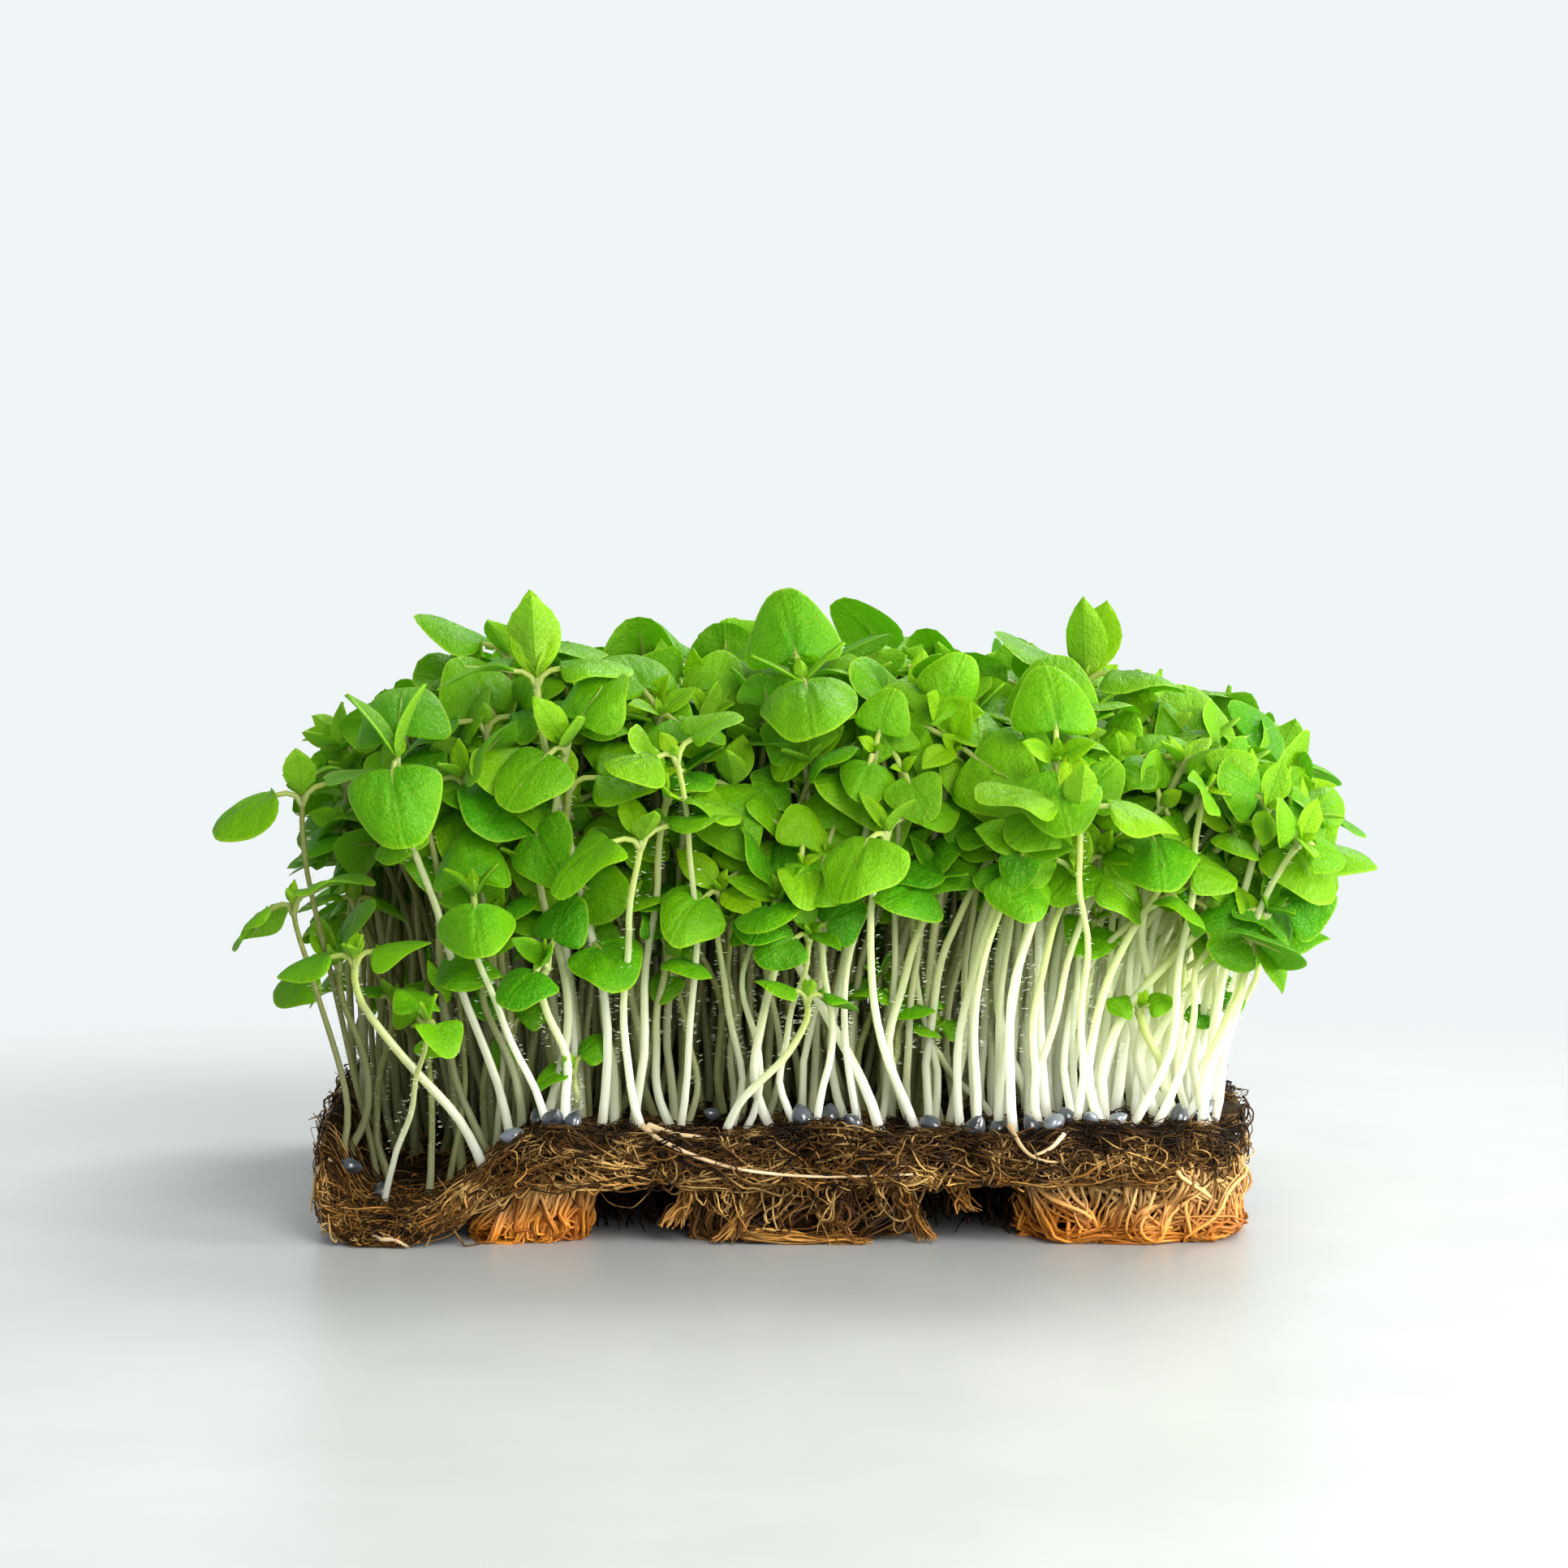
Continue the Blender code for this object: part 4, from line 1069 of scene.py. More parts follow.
def tuft_strands(head, toe, count, spread, steps=14):
    """A tuft of roots drawn together between two places, loose at both ends."""
    t = np.linspace(0, 1, steps)[None, :, None]
    head, toe = np.array(head), np.array(toe)
    start = head + dice.normal(0, 1, (count, 1, 3)) * (spread, 0.6 * spread, 0.3)
    end = toe + dice.normal(0, 1, (count, 1, 3)) * (0.6 * spread, 0.5 * spread, 0.15)
    middle = 0.5 * (head + toe) + dice.normal(0, 0.35, (count, 1, 3))
    paths = (1 - t) ** 2 * start + 2 * t * (1 - t) * middle + t * t * end
    return lifted(paths + wander(count, steps, 0.25), ROOT_FLOOR)


# The feet

FOOT_TOP = 8.2
ROOT_FLOOR = 0.12
# for the feet that show: their matted middle as a share of the foot, how thickly they are dressed with
# roots, and how many roots are rolled round them
FOOT_DRESS = {
    "front_left": (0.76, 2.3, 11),
    "front_middle": (0.68, 0.85, 12),
    "front_right": (0.80, 2.0, 34),
}
HIDDEN_FOOT_DRESS = (0.83, 1.4, 50)
FOOT_BUNDLES = 26  # bundles of roots down the side of a foot 12 across
ROOT_TINT_TOP = 8  # roots get paler up to here


def foot_place(foot, a, height, swell):
    """A place on a foot's side at an angle and a height, as in the source, swollen by a share."""
    _, x, y, half_width, half_depth, lobes, lean = foot
    heights, scales = zip(*FOOT_RINGS)
    share = height / heights[-1]
    lobe = 1 + 0.5 * FOOT_LOBE_DEPTH * math.cos(lobes * a + 0.5 * height)
    square = (math.cos(a) ** 4 + math.sin(a) ** 4) ** -0.18
    reach = np.interp(height, heights, scales) * lobe * square * swell
    taper = 1 - LEANING_TAPER * share if lean else 1
    px = x + lean * share + half_width * reach * taper * math.cos(a)
    return px, y + half_depth * reach * math.sin(a)


def foot_strands(foot, bundles, each=7, steps=15):
    """Roots that come down the side of a foot in bundles and curl in under it."""
    paths = []
    for _ in range(bundles):
        centre = rng.uniform(0, 2 * math.pi)
        drift = rng.gauss(0, 0.4)
        gather = rng.uniform(0.02, 0.08)
        fan = rng.uniform(0.05, 0.28)
        curl = rng.uniform(-1.2, 1.2)
        for _ in range(each):
            head = centre + rng.gauss(0, fan)
            waist = centre + 0.6 * drift + rng.gauss(0, gather)
            swell = rng.uniform(0.9, 1.03)
            sole = rng.uniform(0.12, 1.3)
            turn_in = rng.uniform(0.05, 0.4)
            path = []
            for step in range(steps):
                t = step / (steps - 1)
                down = min(t / 0.7, 1)
                under = max(t - 0.7, 0) / 0.3
                angle = head + (waist - head) * smooth(0, 1, down) + (0.4 * drift + curl * under) * down
                height = max(FOOT_TOP + (sole - FOOT_TOP) * down - 0.4 * under, ROOT_FLOOR)
                x, y = foot_place(foot, angle, height, swell * (1 - turn_in * under))
                path.append((x, y, min(height, mat_underside(x, y) + 1.5)))
            paths.append(path)
    together = np.repeat(wander(bundles, steps, 0.62), each, axis=0)
    return lifted(np.array(paths) + together + wander(len(paths), steps, 0.22), ROOT_FLOOR)


def foot_wraps(foot, count):
    """Roots rolled round the bottom of a foot."""

    def wrap_strand(number, shares):
        a = rng.uniform(0, 2 * math.pi)
        span = rng.uniform(0.5, 1.8) * rng.choice((-1, 1))
        height = 0.15 + 2.0 * rng.random() ** 1.5
        climb = rng.uniform(-0.6, 1.2) + rng.choice((0, 0, 0, 2))
        swell = rng.uniform(0.93, 1.05)
        path = []
        for t in shares:
            angle = a + span * t
            z = (height + climb * t * t) * (0.35 + abs(math.sin(1.4 * angle + foot[1])))
            path.append((*foot_place(foot, angle, z, swell - 0.04 * z / 3), z))
        return path

    return strands(wrap_strand, count, 16, 0.3, ROOT_FLOOR)


def add_foot_core(batch, foot, swell):
    """The matted middle of a foot, a little inside its strands."""
    rings, sides = 12, 48
    _, middle_x, middle_y, *_ = foot
    points = []
    for level in range(rings):
        height = FOOT_TOP * level / (rings - 1)
        for i in range(sides):
            x, y = foot_place(foot, 2 * math.pi * i / sides, height, swell)
            push = 1 + 0.07 * rough(x, y, height, 1.0) + 0.06 * rough(x, y, height + 5, 2.5)
            x = middle_x + (x - middle_x) * push
            y = middle_y + (y - middle_y) * push
            points.append((x, y, 0.1 + height * 0.97 if height > 0.5 else 0.1))
    last = (rings - 1) * sides
    low, high = len(points), len(points) + 1
    points += [(middle_x, middle_y, 0.1), (middle_x, middle_y, 8)]
    sole = [(low, (i + 2) % sides, i + 1, i) for i in range(0, sides, 2)]
    lid = [(high, last + i, last + i + 1, last + (i + 2) % sides) for i in range(0, sides, 2)]
    batch.add(np.array(points), np.concatenate([grid_faces(rings, sides, closed=True), sole, lid]))


# The seed cases

EXTRA_SEEDS = (
    (-27, -37), (-8, -30), (16, -38.5), (29.5, -39.8), (31, -37.5), (45.5, -31), (46.8, -28), (5, -36),
    (-36, 5), (30, 33), (-20, 36), (10, 37), (47, 10),
)


def add_seed_cases(batch):
    """Swollen seed cases, longer than wide and a little wrinkled."""
    rings, sides = 12, 16
    for number, (x, y) in enumerate(SEED_CASES + EXTRA_SEEDS):
        axis = Vector((math.cos(1.7 * number), math.sin(1.7 * number), rng.uniform(-0.2, 2.2))).normalized()
        side = axis.cross(Vector((0, 0, 1))).normalized()
        up = 0.9 * side.cross(axis)
        middle = Vector((x, y, mat_top(x, y) + 0.8))
        size = 0.95 + 0.45 * rng.random()
        points = []
        for level in range(rings):
            t = level / (rings - 1)
            along = (t - 0.5) * SEED_CASE_LENGTH * size
            radius = SEED_CASE_RADIUS * size * max(math.sin(math.pi * t), 0.02) ** 0.6 * (1.05 - 0.25 * t)
            for i in range(sides):
                a = 2 * math.pi * i / sides
                dent = 1 + 0.05 * rough(along, a, number, 0.4)
                out = side * math.cos(a) + up * math.sin(a)
                points.append(middle + axis * along + out * (radius * dent))
        tint = (rng.random(), rng.gauss(0, 0.3), 0)
        batch.add(np.array(points), grid_faces(rings, sides, closed=True), tint)


# Materials

def rgb(red, green, blue):
    """A colour that is not see-through."""
    return (red, green, blue, 1)


class Nodes:
    """A short way to write a material's node tree."""

    def __init__(self, name):
        self.material = bpy.data.materials.new(name)
        self.material.use_nodes = True
        self.tree = self.material.node_tree
        self.tree.nodes.clear()
        self.output = self.tree.nodes.new("ShaderNodeOutputMaterial")

    def node(self, kind, settings=None, **inputs):
        """A node with its settings and inputs. i0 and i1 go by number; a value may be another's output."""
        made = self.tree.nodes.new("ShaderNode" + kind)
        for key, value in (settings or {}).items():
            setattr(made, key, value)
        for key, value in inputs.items():
            numbered = key[0] == "i" and key[1:].isdigit()
            socket = made.inputs[int(key[1:]) if numbered else key.replace("_", " ")]
            if isinstance(value, bpy.types.NodeSocket):
                self.tree.links.new(value, socket)
            else:
                socket.default_value = value
        return made

    def math(self, operation, a, b=0.0):
        """One step of arithmetic."""
        return self.node("Math", {"operation": operation}, i0=a, i1=b).outputs[0]

    def add(self, a, b):
        """The sum of two values."""
        return self.math("ADD", a, b)

    def times(self, a, b):
        """The product of two values."""
        return self.math("MULTIPLY", a, b)

    def ramp(self, value, low, high, start=0.0, end=1.0, kind="LINEAR"):
        """value from low..high spread over start..end, clamped."""
        limits = {"From_Min": low, "From_Max": high, "To_Min": start, "To_Max": end}
        return self.node("MapRange", {"interpolation_type": kind}, Value=value, **limits).outputs[0]

    def mix(self, share, a, b):
        """A colour between two others."""
        return self.node("Mix", {"data_type": "RGBA"}, i0=share, i6=a, i7=b).outputs[2]

    def place(self):
        """Where on the object a point is, in metres."""
        return self.node("TexCoord").outputs["Object"]

    def noise(self, scale, detail=3.0, roughness=0.55):
        """Uneven values around 0.5."""
        inputs = {"Vector": self.place(), "Scale": scale, "Detail": detail, "Roughness": roughness}
        return self.node("TexNoise", **inputs).outputs["Fac"]

    def split(self, vector):
        """The three numbers of a vector."""
        return self.node("SeparateXYZ", Vector=vector).outputs[:]

    def read(self, name):
        """The three numbers of a point attribute."""
        return self.split(self.node("Attribute", {"attribute_name": name}).outputs["Vector"])

    def bump(self, height, strength, distance):
        """The surface direction over small bumps."""
        return self.node("Bump", Height=height, Strength=strength, Distance=distance).outputs["Normal"]

    def principled(self, **inputs):
        """The usual surface shader."""
        return self.node("BsdfPrincipled", **inputs).outputs[0]

    def surface(self, shader, share=0, **inputs):
        """The finished material. A share of the light may come through it."""
        if share:
            through = self.node("BsdfTranslucent", **inputs).outputs[0]
            shader = self.node("MixShader", i0=share, i1=shader, i2=through).outputs[0]
        self.tree.links.new(shader, self.output.inputs["Surface"])
        return self.material


def leaf_material(name, bright, dark, seed_leaf):
    """Soft green blade: mottled, veined, painted shade towards the stalk, a pale rim that is a painted
    highlight, paler beneath; light comes through it.
    """
    n = Nodes(name)
    hue, value, under = n.read("tint")
    across, along, edge = n.read("mark")
    mottle = n.ramp(n.noise(260.0), 0.3, 0.7, -0.16, 0.16)
    speckle = n.ramp(n.noise(2400.0, 2.0), 0.3, 0.7, -0.10, 0.10)
    # painted shade and light: the blade is darker near the stalk and the rib, paler towards the rim
    lift = n.ramp(edge, 0.15, 1.0, -0.24, 0.18)
    shade = n.add(n.add(value, lift), n.add(mottle, speckle))
    colour = n.mix(n.ramp(shade, 0, 1), dark, bright)
    colour = n.mix(n.ramp(hue, 0.45, 1.0, 0, 0.4), colour, rgb(0.40, 0.58, 0.003))
    side = n.math("ABSOLUTE", across)
    if seed_leaf:
        spread = n.math("DIVIDE", side, n.add(n.math("ABSOLUTE", along), 0.25))
        wave = n.math("SINE", n.times(spread, 9.0))
        veins = n.ramp(n.math("ABSOLUTE", wave), 0.0, 0.16, 1.0, 0.0)
        veins = n.times(veins, n.ramp(edge, 0.15, 0.9, 0.7, 0.05))
        rib = n.ramp(side, 0.015, 0.07, 0.8, 0.0)
    else:
        sweep = n.math("SUBTRACT", n.times(along, 30.0), n.times(side, 9.0))
        veins = n.ramp(n.math("ABSOLUTE", n.math("SINE", sweep)), 0.0, 0.22, 0.75, 0.0)
        veins = n.times(veins, n.ramp(side, 0.75, 1.0, 1.0, 0.0))
        rib = n.ramp(side, 0.02, 0.08, 1.0, 0.0)
    lines = n.math("MAXIMUM", veins, rib)
    # pale stipple: the blade's fine grain, partly painted sparkle
    grain_and_sparkle = n.ramp(n.noise(4400.0, 1.0), 0.5, 0.7, 0.0, 0.42 if seed_leaf else 0.16)
    colour = n.mix(grain_and_sparkle, colour, rgb(0.36, 0.58, 0.03))
    if seed_leaf:
        colour = n.mix(n.times(lines, 0.10), colour, rgb(0.40, 0.62, 0.05))
    else:
        for line, share in ((rib, 0.45), (veins, 0.12)):
            colour = n.mix(n.times(line, share), colour, rgb(0.10, 0.34, 0.002))
    # painted highlight: a thin pale line along the rim
    colour = n.mix(n.ramp(edge, 0.955, 0.985, 0.0, 0.38), colour, rgb(0.50, 0.72, 0.03))
    colour = n.mix(under, colour, n.mix(0.4, colour, rgb(0.30, 0.54, 0.06)))
    down = n.node("TexVoronoi", {"feature": "F1"}, Scale=3600.0, Vector=n.place()).outputs["Distance"]
    fine = n.add(n.times(down, 0.5), n.noise(1500.0, 2.0))
    blisters = n.times(n.noise(620.0, 2.0), 2.6)
    normal = n.bump(n.math("SUBTRACT", n.add(fine, blisters), n.times(lines, 0.7)), 0.5, 0.0003)
    body = n.principled(
        Base_Color=colour,
        Roughness=n.ramp(n.noise(420.0, 2.0), 0.35, 0.7, 0.36, 0.56),
        Normal=normal,
        Specular_IOR_Level=0.2,
        Sheen_Weight=0.04,
        Sheen_Roughness=0.4,
        Sheen_Tint=rgb(0.75, 0.95, 0.55),
    )
    return n.surface(body, 0.5, Color=n.mix(0.4, colour, rgb(0.40, 0.84, 0.002)), Normal=normal)


def stem_material():
    """White and almost clear at the foot, pale green towards the leaves, darkened to olive by painted shade
    deep in the crowd.
    """
    n = Nodes("stem")
    hue, shade, _ = n.read("tint")
    along = n.read("mark")[0]
    run = n.add(along, n.times(hue, 0.2))
    colour = n.mix(n.ramp(run, 0.0, 0.55), rgb(0.98, 0.98, 0.92), rgb(0.92, 0.95, 0.70))
    colour = n.mix(n.ramp(run, 0.38, 1.1), colour, rgb(0.56, 0.66, 0.15))
    colour = n.mix(n.ramp(along, 0.0, 0.05, 0.45, 0.0), colour, rgb(0.55, 0.40, 0.27))
    # painted shade: a stem deep in the crowd is darkened towards olive
    colour = n.mix(n.times(shade, 0.85), colour, rgb(0.25, 0.26, 0.04))
    colour = n.mix(n.ramp(n.noise(900.0, 2.0), 0.35, 0.8, 0.0, 0.16), colour, rgb(0.62, 0.70, 0.40))
    body = n.principled(
        Base_Color=colour,
        Normal=n.bump(n.noise(2600.0, 2.0), 0.25, 0.00008),
        Roughness=0.38,
        Specular_IOR_Level=0.5,
        Subsurface_Weight=0.35,
        Subsurface_Radius=(0.002, 0.0018, 0.001),
        Subsurface_Scale=1.0,
    )
    return n.surface(body, 0.5, Color=colour)


def hair_material():
    """Pale, almost colourless hair."""
    n = Nodes("hair")
    colour = n.mix(n.noise(300.0), rgb(0.75, 0.85, 0.55), rgb(0.9, 0.93, 0.8))
    return n.surface(n.principled(Base_Color=colour, Roughness=0.5))


def fibre_material(name, dark, middle, pale, rough_from, red=0.0, shine=0.12):
    """Damp plant fibre whose colour differs from strand to strand and along each one."""
    n = Nodes(name)
    hue, value, _ = n.read("tint")
    patch = n.ramp(n.noise(170.0, 4.0), 0.32, 0.7)
    x, _, z = n.split(n.place())
    share = n.add(hue, n.times(n.math("SUBTRACT", patch, 0.5), 0.8))
    share = n.add(share, n.times(n.ramp(z, 0.0065, 0.0125, 0.14, -0.24), n.ramp(x, -0.036, -0.026)))
    colour = n.mix(n.ramp(share, 0.0, 0.6), dark, middle)
    colour = n.mix(n.ramp(share, 0.62, 1.15), colour, pale)
    reddish = n.mix(hue, rgb(0.06, 0.018, 0.002), rgb(0.52, 0.22, 0.035))
    colour = n.mix(n.times(n.ramp(value, 0.3, 1.0, 0.0, red), n.ramp(z, 0.012, 0.007)), colour, reddish)
    fine = n.noise(1400.0)
    colour = n.mix(n.ramp(fine, 0.4, 0.8, 0.0, 0.4), colour, dark)
    gloss = n.ramp(patch, 0.2, 0.8, rough_from, rough_from + 0.3)
    normal = n.bump(fine, 0.5, 0.00012)
    body = n.principled(Base_Color=colour, Roughness=gloss, Normal=normal, Specular_IOR_Level=shine)
    return n.surface(body)


def root_material():
    """Wet roots: deep orange low down, tan towards the mat, brown on the middle foot."""
    n = Nodes("root")
    hue, brown, _ = n.read("tint")
    height = n.read("mark")[1]
    low = n.mix(hue, rgb(0.30, 0.075, 0.005), rgb(0.82, 0.33, 0.042))
    high = n.mix(hue, rgb(0.17, 0.07, 0.012), rgb(0.86, 0.54, 0.20))
    share = n.add(height, n.ramp(n.noise(120.0), 0.3, 0.7, -0.25, 0.25))
    colour = n.mix(n.ramp(share, 0.2, 0.75), low, high)
    colour = n.mix(brown, colour, n.mix(hue, rgb(0.006, 0.0022, 0.0004), rgb(0.20, 0.085, 0.018)))
    normal = n.bump(n.noise(1400.0), 0.4, 0.0001)
    body = n.principled(Base_Color=colour, Normal=normal, Roughness=0.32, Specular_IOR_Level=0.24)
    return n.surface(body, 0.2, Color=colour)


def mat_material():
    """Dark peaty fibre, in clumps, with tiny wet sparks."""
    n = Nodes("mat_fibre")
    coarse = n.noise(210.0, 5.0, 0.65)
    fine = n.noise(1500.0, 4.0, 0.7)
    share = n.add(n.times(coarse, 0.6), n.times(fine, 0.5))
    colour = n.mix(n.ramp(share, 0.42, 0.72), rgb(0.003, 0.0012, 0.0003), rgb(0.045, 0.022, 0.006))
    colour = n.mix(n.ramp(fine, 0.62, 0.8, 0.0, 0.6), colour, rgb(0.20, 0.11, 0.032))
    normal = n.bump(n.add(n.times(coarse, 0.6), fine), 1.0, 0.0007)
    gloss = n.ramp(fine, 0.4, 0.7, 0.35, 0.85)
    body = n.principled(Base_Color=colour, Roughness=gloss, Normal=normal, Specular_IOR_Level=0.08)
    return n.surface(body)


def seed_material():
    """Slate-coloured seed case whose thin film of pale gel is a painted sheen, paler at glancing angles."""
    n = Nodes("seed_case")
    hue = n.read("tint")[0]
    spots = n.noise(700.0)
    colour = n.mix(n.ramp(spots, 0.3, 0.7), rgb(0.010, 0.011, 0.014), rgb(0.06, 0.068, 0.085))
    colour = n.mix(n.ramp(hue, 0.55, 1.0, 0.0, 0.75), colour, rgb(0.22, 0.24, 0.27))
    # painted sheen: paler at glancing angles, in place of the gel film's reflection
    painted_gel_sheen = n.node("LayerWeight", Blend=0.35).outputs["Facing"]
    colour = n.mix(n.times(painted_gel_sheen, 0.3), colour, rgb(0.22, 0.26, 0.31))
    normal = n.bump(spots, 0.3, 0.0002)
    coat = {"Coat_Weight": 0.8, "Coat_Roughness": 0.12}
    return n.surface(n.principled(Base_Color=colour, Normal=normal, Roughness=0.3, **coat))


# Stage

FLOOR_RINGS = (0.15, 0.3, 0.6, 1.2)
FLOOR_SIDES = 96
FLOOR_CENTRE = 0.10  # the table is clear around this far in front of the block
FLOOR_FADE = (0.17, 0.30)  # and fades out between these distances from there
# lamps: name, place, height of their aim, size, power and colour
LAMPS = (
    ("window", (0.76, -0.26, 0.085), 0.03, 0.3, 10.9, (1, 0.99, 0.96)),
    ("front", (0.3, -0.65, 0.5), 0.05, 0.4, 6.4, (1, 1, 1)),
    ("back", (0.35, 0.55, 0.75), 0.06, 0.5, 10.0, (1, 1, 1)),
    ("low", (0.25, -0.9, 0.16), 0.035, 0.5, 4.5, (1, 1, 1)),
)
ROOM_COLOUR = rgb(0.875, 0.915, 0.93)
# the room is brightest behind the block: from where to where in y and in z, and how bright there
ROOM_DEPTH = (-0.8, 0.6, 0.55, 1.0)
ROOM_HEIGHT = (0.2, 0.9, 1.0, 0.6)


def make_floor():
    """A satin table top that fades out behind the block."""
    points = [(0, 0, 0)]
    for radius in FLOOR_RINGS:
        for i in range(FLOOR_SIDES):
            a = 2 * math.pi * i / FLOOR_SIDES
            points.append((radius * math.cos(a), radius * math.sin(a), 0))
    faces = [(0, 1 + i, 1 + (i + 1) % FLOOR_SIDES) for i in range(FLOOR_SIDES)]
    faces += (1 + grid_faces(len(FLOOR_RINGS), FLOOR_SIDES, closed=True)[:, ::-1]).tolist()
    mesh = bpy.data.meshes.new("floor")
    mesh.from_pydata(points, [], faces)
    link(bpy.data.objects.new("floor", mesh))
    n = Nodes("table")
    x, y, _ = n.split(n.place())
    distance = n.math("SQRT", n.add(n.math("POWER", x, 2.0), n.math("POWER", n.add(y, FLOOR_CENTRE), 2.0)))
    speck = n.ramp(n.noise(40.0, 2.0), 0.3, 0.7)
    colour = n.mix(speck, rgb(0.43, 0.44, 0.43), rgb(0.46, 0.47, 0.46))
    body = n.principled(Base_Color=colour, Roughness=0.34, Specular_IOR_Level=0.5)
    clear = n.node("BsdfTransparent").outputs[0]
    fade = n.ramp(distance, *FLOOR_FADE, kind="SMOOTHERSTEP")
    mesh.materials.append(n.surface(n.node("MixShader", i0=fade, i1=body, i2=clear).outputs[0]))


def make_light():
    """A bright room and four lamps."""
    world = bpy.data.worlds.new("studio")
    bpy.context.scene.world = world
    world.use_nodes = True
    tree = world.node_tree
    background = tree.nodes["Background"]
    background.inputs["Color"].default_value = ROOM_COLOUR
    direction = tree.nodes.new("ShaderNodeSeparateXYZ")
    tree.links.new(tree.nodes.new("ShaderNodeTexCoord").outputs["Generated"], direction.inputs[0])
    strength = tree.nodes.new("ShaderNodeMath")
    strength.operation = "MULTIPLY"
    for socket, limits in ((1, ROOM_DEPTH), (2, ROOM_HEIGHT)):
        spread = tree.nodes.new("ShaderNodeMapRange")
        tree.links.new(direction.outputs[socket], spread.inputs["Value"])
        for key, number in zip(("From Min", "From Max", "To Min", "To Max"), limits):
            spread.inputs[key].default_value = number
        tree.links.new(spread.outputs[0], strength.inputs[socket - 1])
    tree.links.new(strength.outputs[0], background.inputs["Strength"])
    for name, place, aim, size, power, colour in LAMPS:
        lamp = bpy.data.lights.new(name, "AREA")
        lamp.size = size
        lamp.energy = power
        lamp.color = colour
        made = link(bpy.data.objects.new(name, lamp))
        made.location = place
        made.rotation_euler = (Vector((0, 0, aim)) - Vector(place)).to_track_quat("-Z", "Y").to_euler()
    bpy.context.scene.view_settings.view_transform = "Standard"


# The finished pieces

NEAR = -18  # sprouts that end in front of this y are made finer
# sides and steps of a stem, rings and spokes of a seed leaf, steps and lanes of a true leaf
NEAR_DETAIL = (10, 16, 8, 31, 14, 9)
FAR_DETAIL = (7, 10, 6, 21, 8, 7)
BUD_DETAIL = (6, 5)
HAIRS_PER_STEM = 70


def sprout_tint(sprout):
    """A random hue and brightness, with painted shade that darkens heads ending deep under the crown."""
    hue = 0.8 * rng.random()
    value = min(max(rng.gauss(0.62, 0.29), 0.02), 1)
    # the subtracted part is painted shade, deeper the further a head ends under the crown
    return hue, value - 0.35 * smooth(0, 24, crown_height(sprout.top.x, sprout.top.y) - sprout.top.z), 0


def dress_sprouts():
    """Stems, leaves, buds and hairs: finer ones for the sprouts near the front."""
    holes = lay_out_sprouts()
    source = [sprout for hole in holes for sprout in hole]
    for sprout in source:
        sprout.nod = SOURCE_NOD
    extra = crowd(holes) + undergrowth()
    near = [sprout for sprout in source + extra if sprout.top.y < NEAR]
    far = [sprout for sprout in source + extra if sprout.top.y >= NEAR]
    stem = stem_material()
    seed_leaf = leaf_material("seed_leaf", rgb(0.185, 0.47, 0.001), rgb(0.05, 0.30, 0.001), True)
    true_leaf = leaf_material("true_leaf", rgb(0.29, 0.55, 0.003), rgb(0.10, 0.35, 0.001), False)
    for name, group, detail in (("near", near, NEAR_DETAIL), ("far", far, FAR_DETAIL)):
        tints = [sprout_tint(sprout) for sprout in group]
        stems, blades, points = Batch(), Batch(), Batch()
        # the second number of each stem tint is its painted shade from shade_of
        stem_tints = np.array([(tint[0], shade_of(sprout), 0) for tint, sprout in zip(tints, group)])
        add_stems(stems, group, stem_tints, *detail[:2])
        seed_leaves, true_leaves, buds, stalks = blade_rows(group, tints)
        # the stalks take a third of their stem's painted shade
        add_stalks(stems, stalks, stem_tints * (1, 0.3, 0))
        add_seed_leaves(blades, seed_leaves, *detail[2:4])
        add_true_leaves(points, true_leaves, *detail[4:])
        add_true_leaves(points, buds, *BUD_DETAIL)
        stems.piece("stems_" + name, stem, "sprouts", SPROUT_NODES)
        blades.piece("seed_leaves_" + name, seed_leaf, "sprouts", SPROUT_NODES)
        points.piece("true_leaves_" + name, true_leaf, "sprouts", SPROUT_NODES)
    hairs = Batch()
    add_hairs(hairs, near, HAIRS_PER_STEM)
    hairs.piece("stem_hairs", hair_material(), "sprouts")
    return len(source), len(extra)


# fibres of the mat: how each is drawn, how many, steps, wandering, floor, and least and greatest thickness
FIBRES = (
    (edge_strand, 1000, 16, 0.4, 0.2, 0.04, 0.17),
    (face_strand, 1900, 9, 0.08, 0.2, 0.03, 0.15),
    (fringe_strand, 900, 8, 0.14, 0, 0.03, 0.09),
    (top_strand, 4200, 10, 0.13, 0, 0.03, 0.10),
    (hanging_strand, 260, 14, 0.45, 0.15, 0.06, 0.18),
)
# tufts under the front middle: head, toe, number of roots and spread
TUFTS = (
    ((-1, -37, 7), (-7, -39, 0.5), 60, 1.6),
    ((3, -36, 7), (6, -39, 0.4), 40, 1.8),
    ((12, -37, 7.5), (15.5, -39, 0.6), 45, 1.3),
    ((-9, -38, 7.5), (-12.5, -39, 2), 26, 1.2),
    ((-4, -39, 1.0), (9, -39.5, 0.4), 34, 0.8),
    ((18, -36, 7.5), (20, -38, 3.5), 24, 1.5),
)
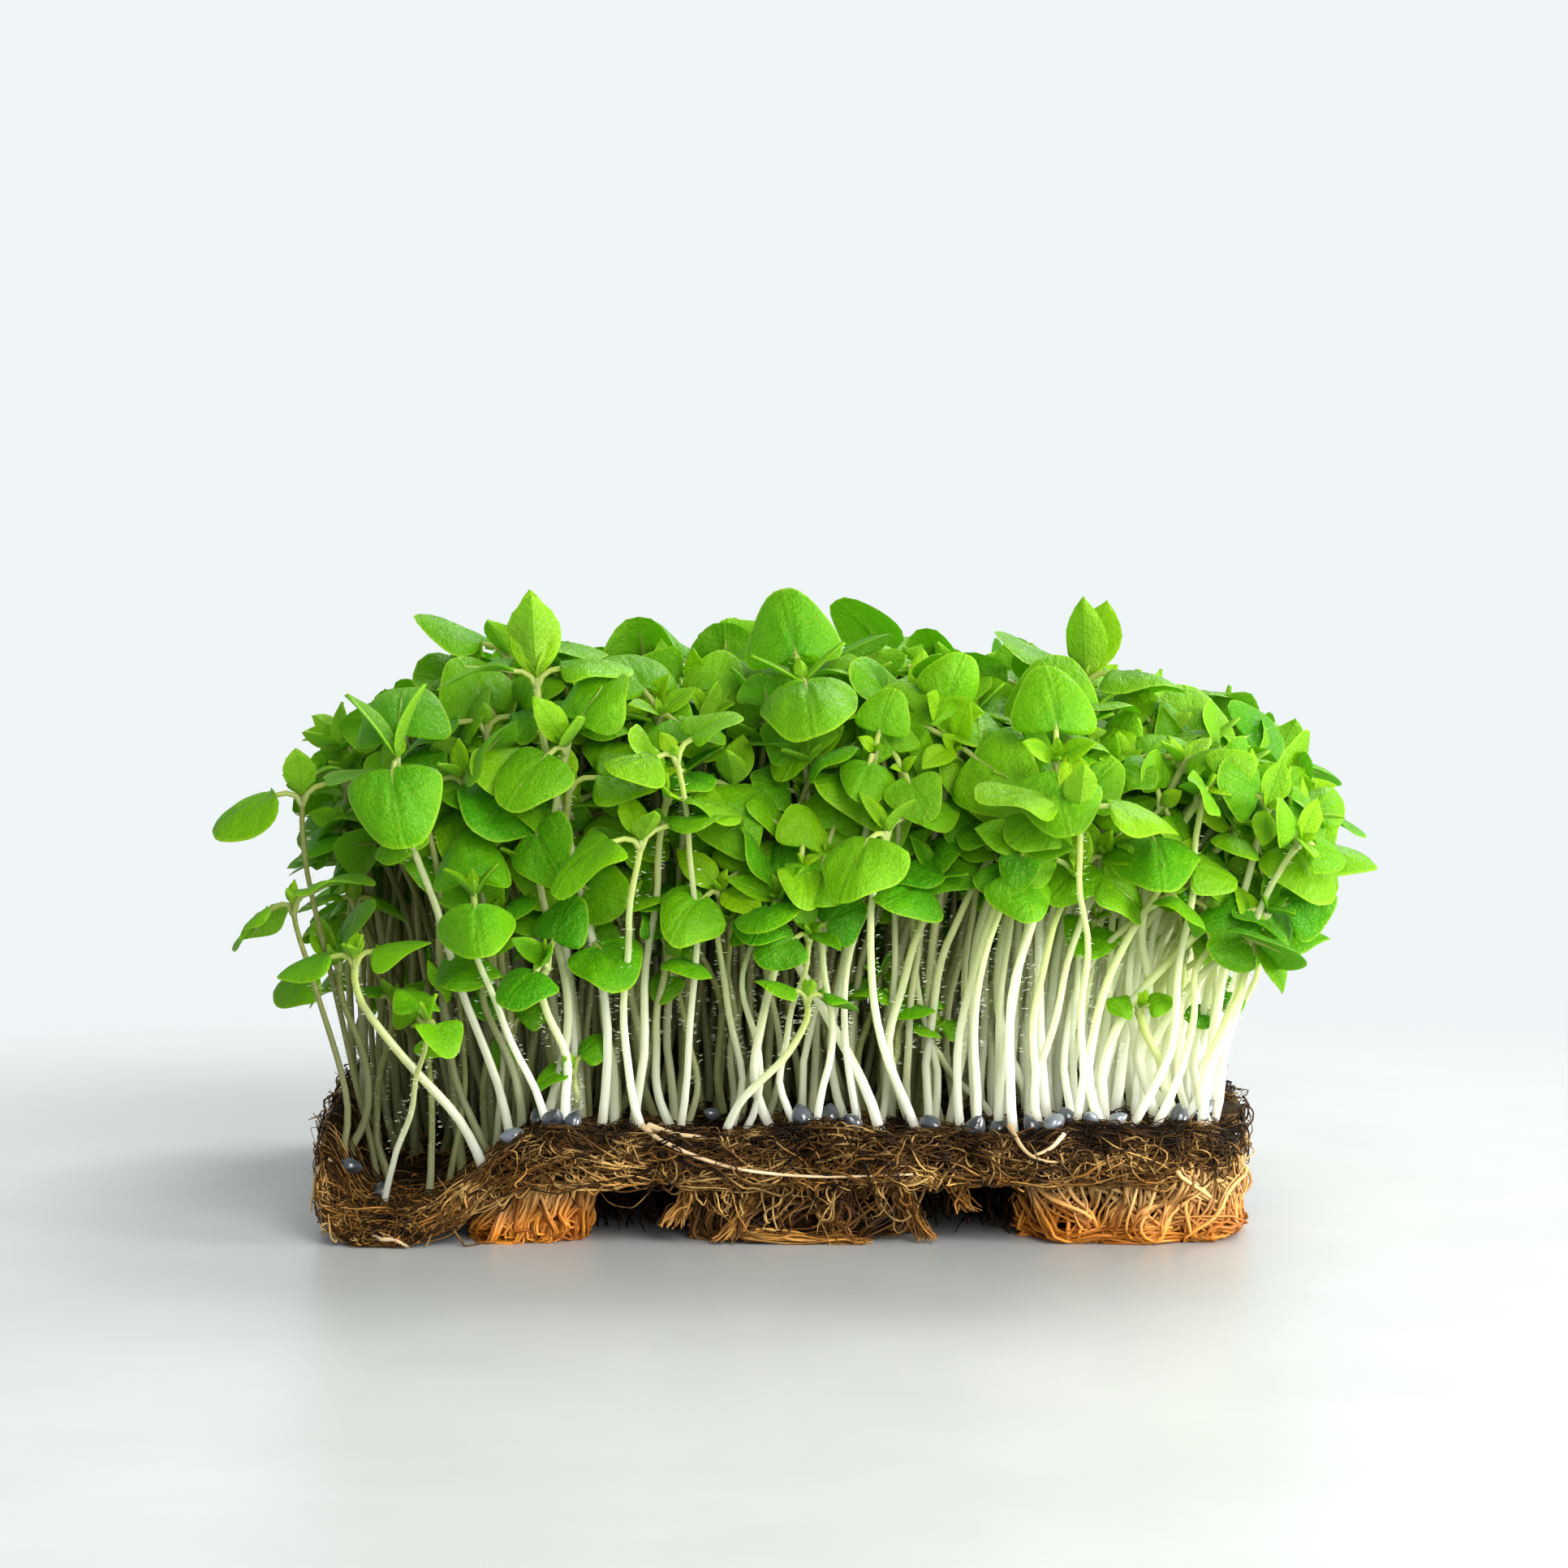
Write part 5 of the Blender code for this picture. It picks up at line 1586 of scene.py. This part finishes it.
# pale young roots that sweep along the front edge
PALE_ROOTS = (
    (
        (-15.4, -40.5, 13.2), (-13.5, -42.2, 12), (-9.5, -42.8, 10.2),
        (-4, -42.9, 8.7), (4, -42.8, 8), (14, -42.4, 8.2),
    ),
    (
        (-14.8, -40.8, 13.3), (-12, -42, 12.6), (-9.5, -42.2, 12.3),
        (-7.5, -41.8, 11.9), (-6.5, -41.4, 12.3), (-5.5, -41, 12.8),
    ),
    (
        (24.6, -40.6, 13.2), (25.2, -42, 12.2), (26, -42.6, 11),
        (27, -42.8, 10.2), (28.4, -42.7, 9.7), (29.8, -42.2, 9.5),
    ),
    (
        (30.8, -40.8, 12.9), (30, -42.1, 12.1), (29.2, -42.5, 11.3),
        (28.2, -42.6, 10.7), (27.2, -42.6, 10.3), (26.6, -42.4, 9.6),
    ),
    (
        (-46, -40, 1.6), (-44, -41.6, 1), (-42.5, -42.2, 1),
        (-41.5, -42.6, 0.6), (-41, -42.9, 0.4), (-40.8, -43.2, 0.3),
    ),
    (
        (-50, -34, 8.5), (-51.3, -35, 7.6), (-51.6, -35.5, 6.2),
        (-51.8, -36, 5), (-52, -36, 4), (-52, -36.2, 3),
    ),
)
PALE_ROOT_STEPS = 24


def curve(route, steps):
    """A smooth path through a few places."""
    places = [Vector(place) for place in route]
    places = [2 * places[0] - places[1], *places, 2 * places[-1] - places[-2]]
    path = []
    for step in range(steps):
        t = step / (steps - 1) * (len(route) - 1)
        i = min(int(t), len(route) - 2)
        f = t - i
        a, b, c, d = places[i : i + 4]
        bend = (2 * a - 5 * b + 4 * c - d) * f * f + (3 * b - 3 * c + d - a) * f**3
        path.append(0.5 * (2 * b + (c - a) * f + bend))
    return path


def dress_mat(core):
    """The mat's body, its tangled fibres and the seed cases on it."""
    make_mat_core(core)
    fibres, under, roots, cases = Batch(), Batch(), Batch(), Batch()
    drawn = [(strands(*row[:5]), *row[5:]) for row in FIBRES]
    for paths, low, high in drawn:
        add_tubes(fibres, paths, strand_radii(paths, low, high), 4, strand_tints(len(paths)))
    paths = strands(under_strand, 3200, 7, 0.7, 0.2)
    add_tubes(under, paths, strand_radii(paths, 0.1, 0.22), 3, strand_tints(len(paths)))
    # near black and without shine: painted shade that keeps the hollows under the mat dark
    dark = (rgb(0.0015, 0.0006, 0.0002), rgb(0.007, 0.003, 0.0008), rgb(0.022, 0.010, 0.002))
    under.piece("under_fibres", fibre_material("under_fibre", *dark, 0.7, shine=0), "growing_mat")
    for row in TUFTS:
        paths = tuft_strands(*row)
        tints = strand_tints(len(paths))
        tints[:, 1] = dice.uniform(0.5, 1, len(paths))
        add_tubes(fibres, paths, strand_radii(paths, 0.07, 0.19), 5, tints)
    brown = (rgb(0.004, 0.0015, 0.0002), rgb(0.074, 0.033, 0.006), rgb(0.56, 0.35, 0.115))
    fibres.piece("mat_fibres", fibre_material("fibre", *brown, 0.4, red=0.85), "growing_mat")
    paths = np.array([curve(route, PALE_ROOT_STEPS) for route in PALE_ROOTS])
    radii = np.interp(np.linspace(0, 1, PALE_ROOT_STEPS), (0, 0.15, 1), (0.42, 0.28, 0.12))
    add_tubes(roots, paths, np.broadcast_to(radii, paths.shape[:2]), 8, strand_tints(len(paths)))
    pale = (rgb(0.42, 0.28, 0.14), rgb(0.62, 0.46, 0.27), rgb(0.78, 0.66, 0.44))
    roots.piece("pale_roots", fibre_material("pale_root", *pale, 0.3), "growing_mat")
    add_seed_cases(cases)
    cases.piece("seed_cases", seed_material(), "growing_mat")


def dress_feet(core_material):
    """The feet: a matted middle under many loose roots."""
    core, roots = Batch(), Batch()
    for foot in ROOT_FEET:
        name = foot[0]
        swell, thick, rolled = FOOT_DRESS.get(name, HIDDEN_FOOT_DRESS)
        add_foot_core(core, foot, swell)
        size = (foot[3] + foot[4]) / 12 * thick
        for paths in (foot_strands(foot, int(FOOT_BUNDLES * size)), foot_wraps(foot, int(rolled * size))):
            tints = strand_tints(len(paths))
            tints[:, 1] = name == "front_middle"
            marks = marks_along(paths, second=paths[..., 2] / ROOT_TINT_TOP)
            add_tubes(roots, paths, strand_radii(paths, 0.08, 0.27), 5, tints, marks)
    core.piece("foot_cores", core_material, "roots", FOOT_NODES)
    roots.piece("foot_strands", root_material(), "roots", FOOT_NODES)


make_camera()
make_floor()
make_light()
print("sprouts", dress_sprouts())
mat_fibre = mat_material()
dress_mat(mat_fibre)
dress_feet(mat_fibre)
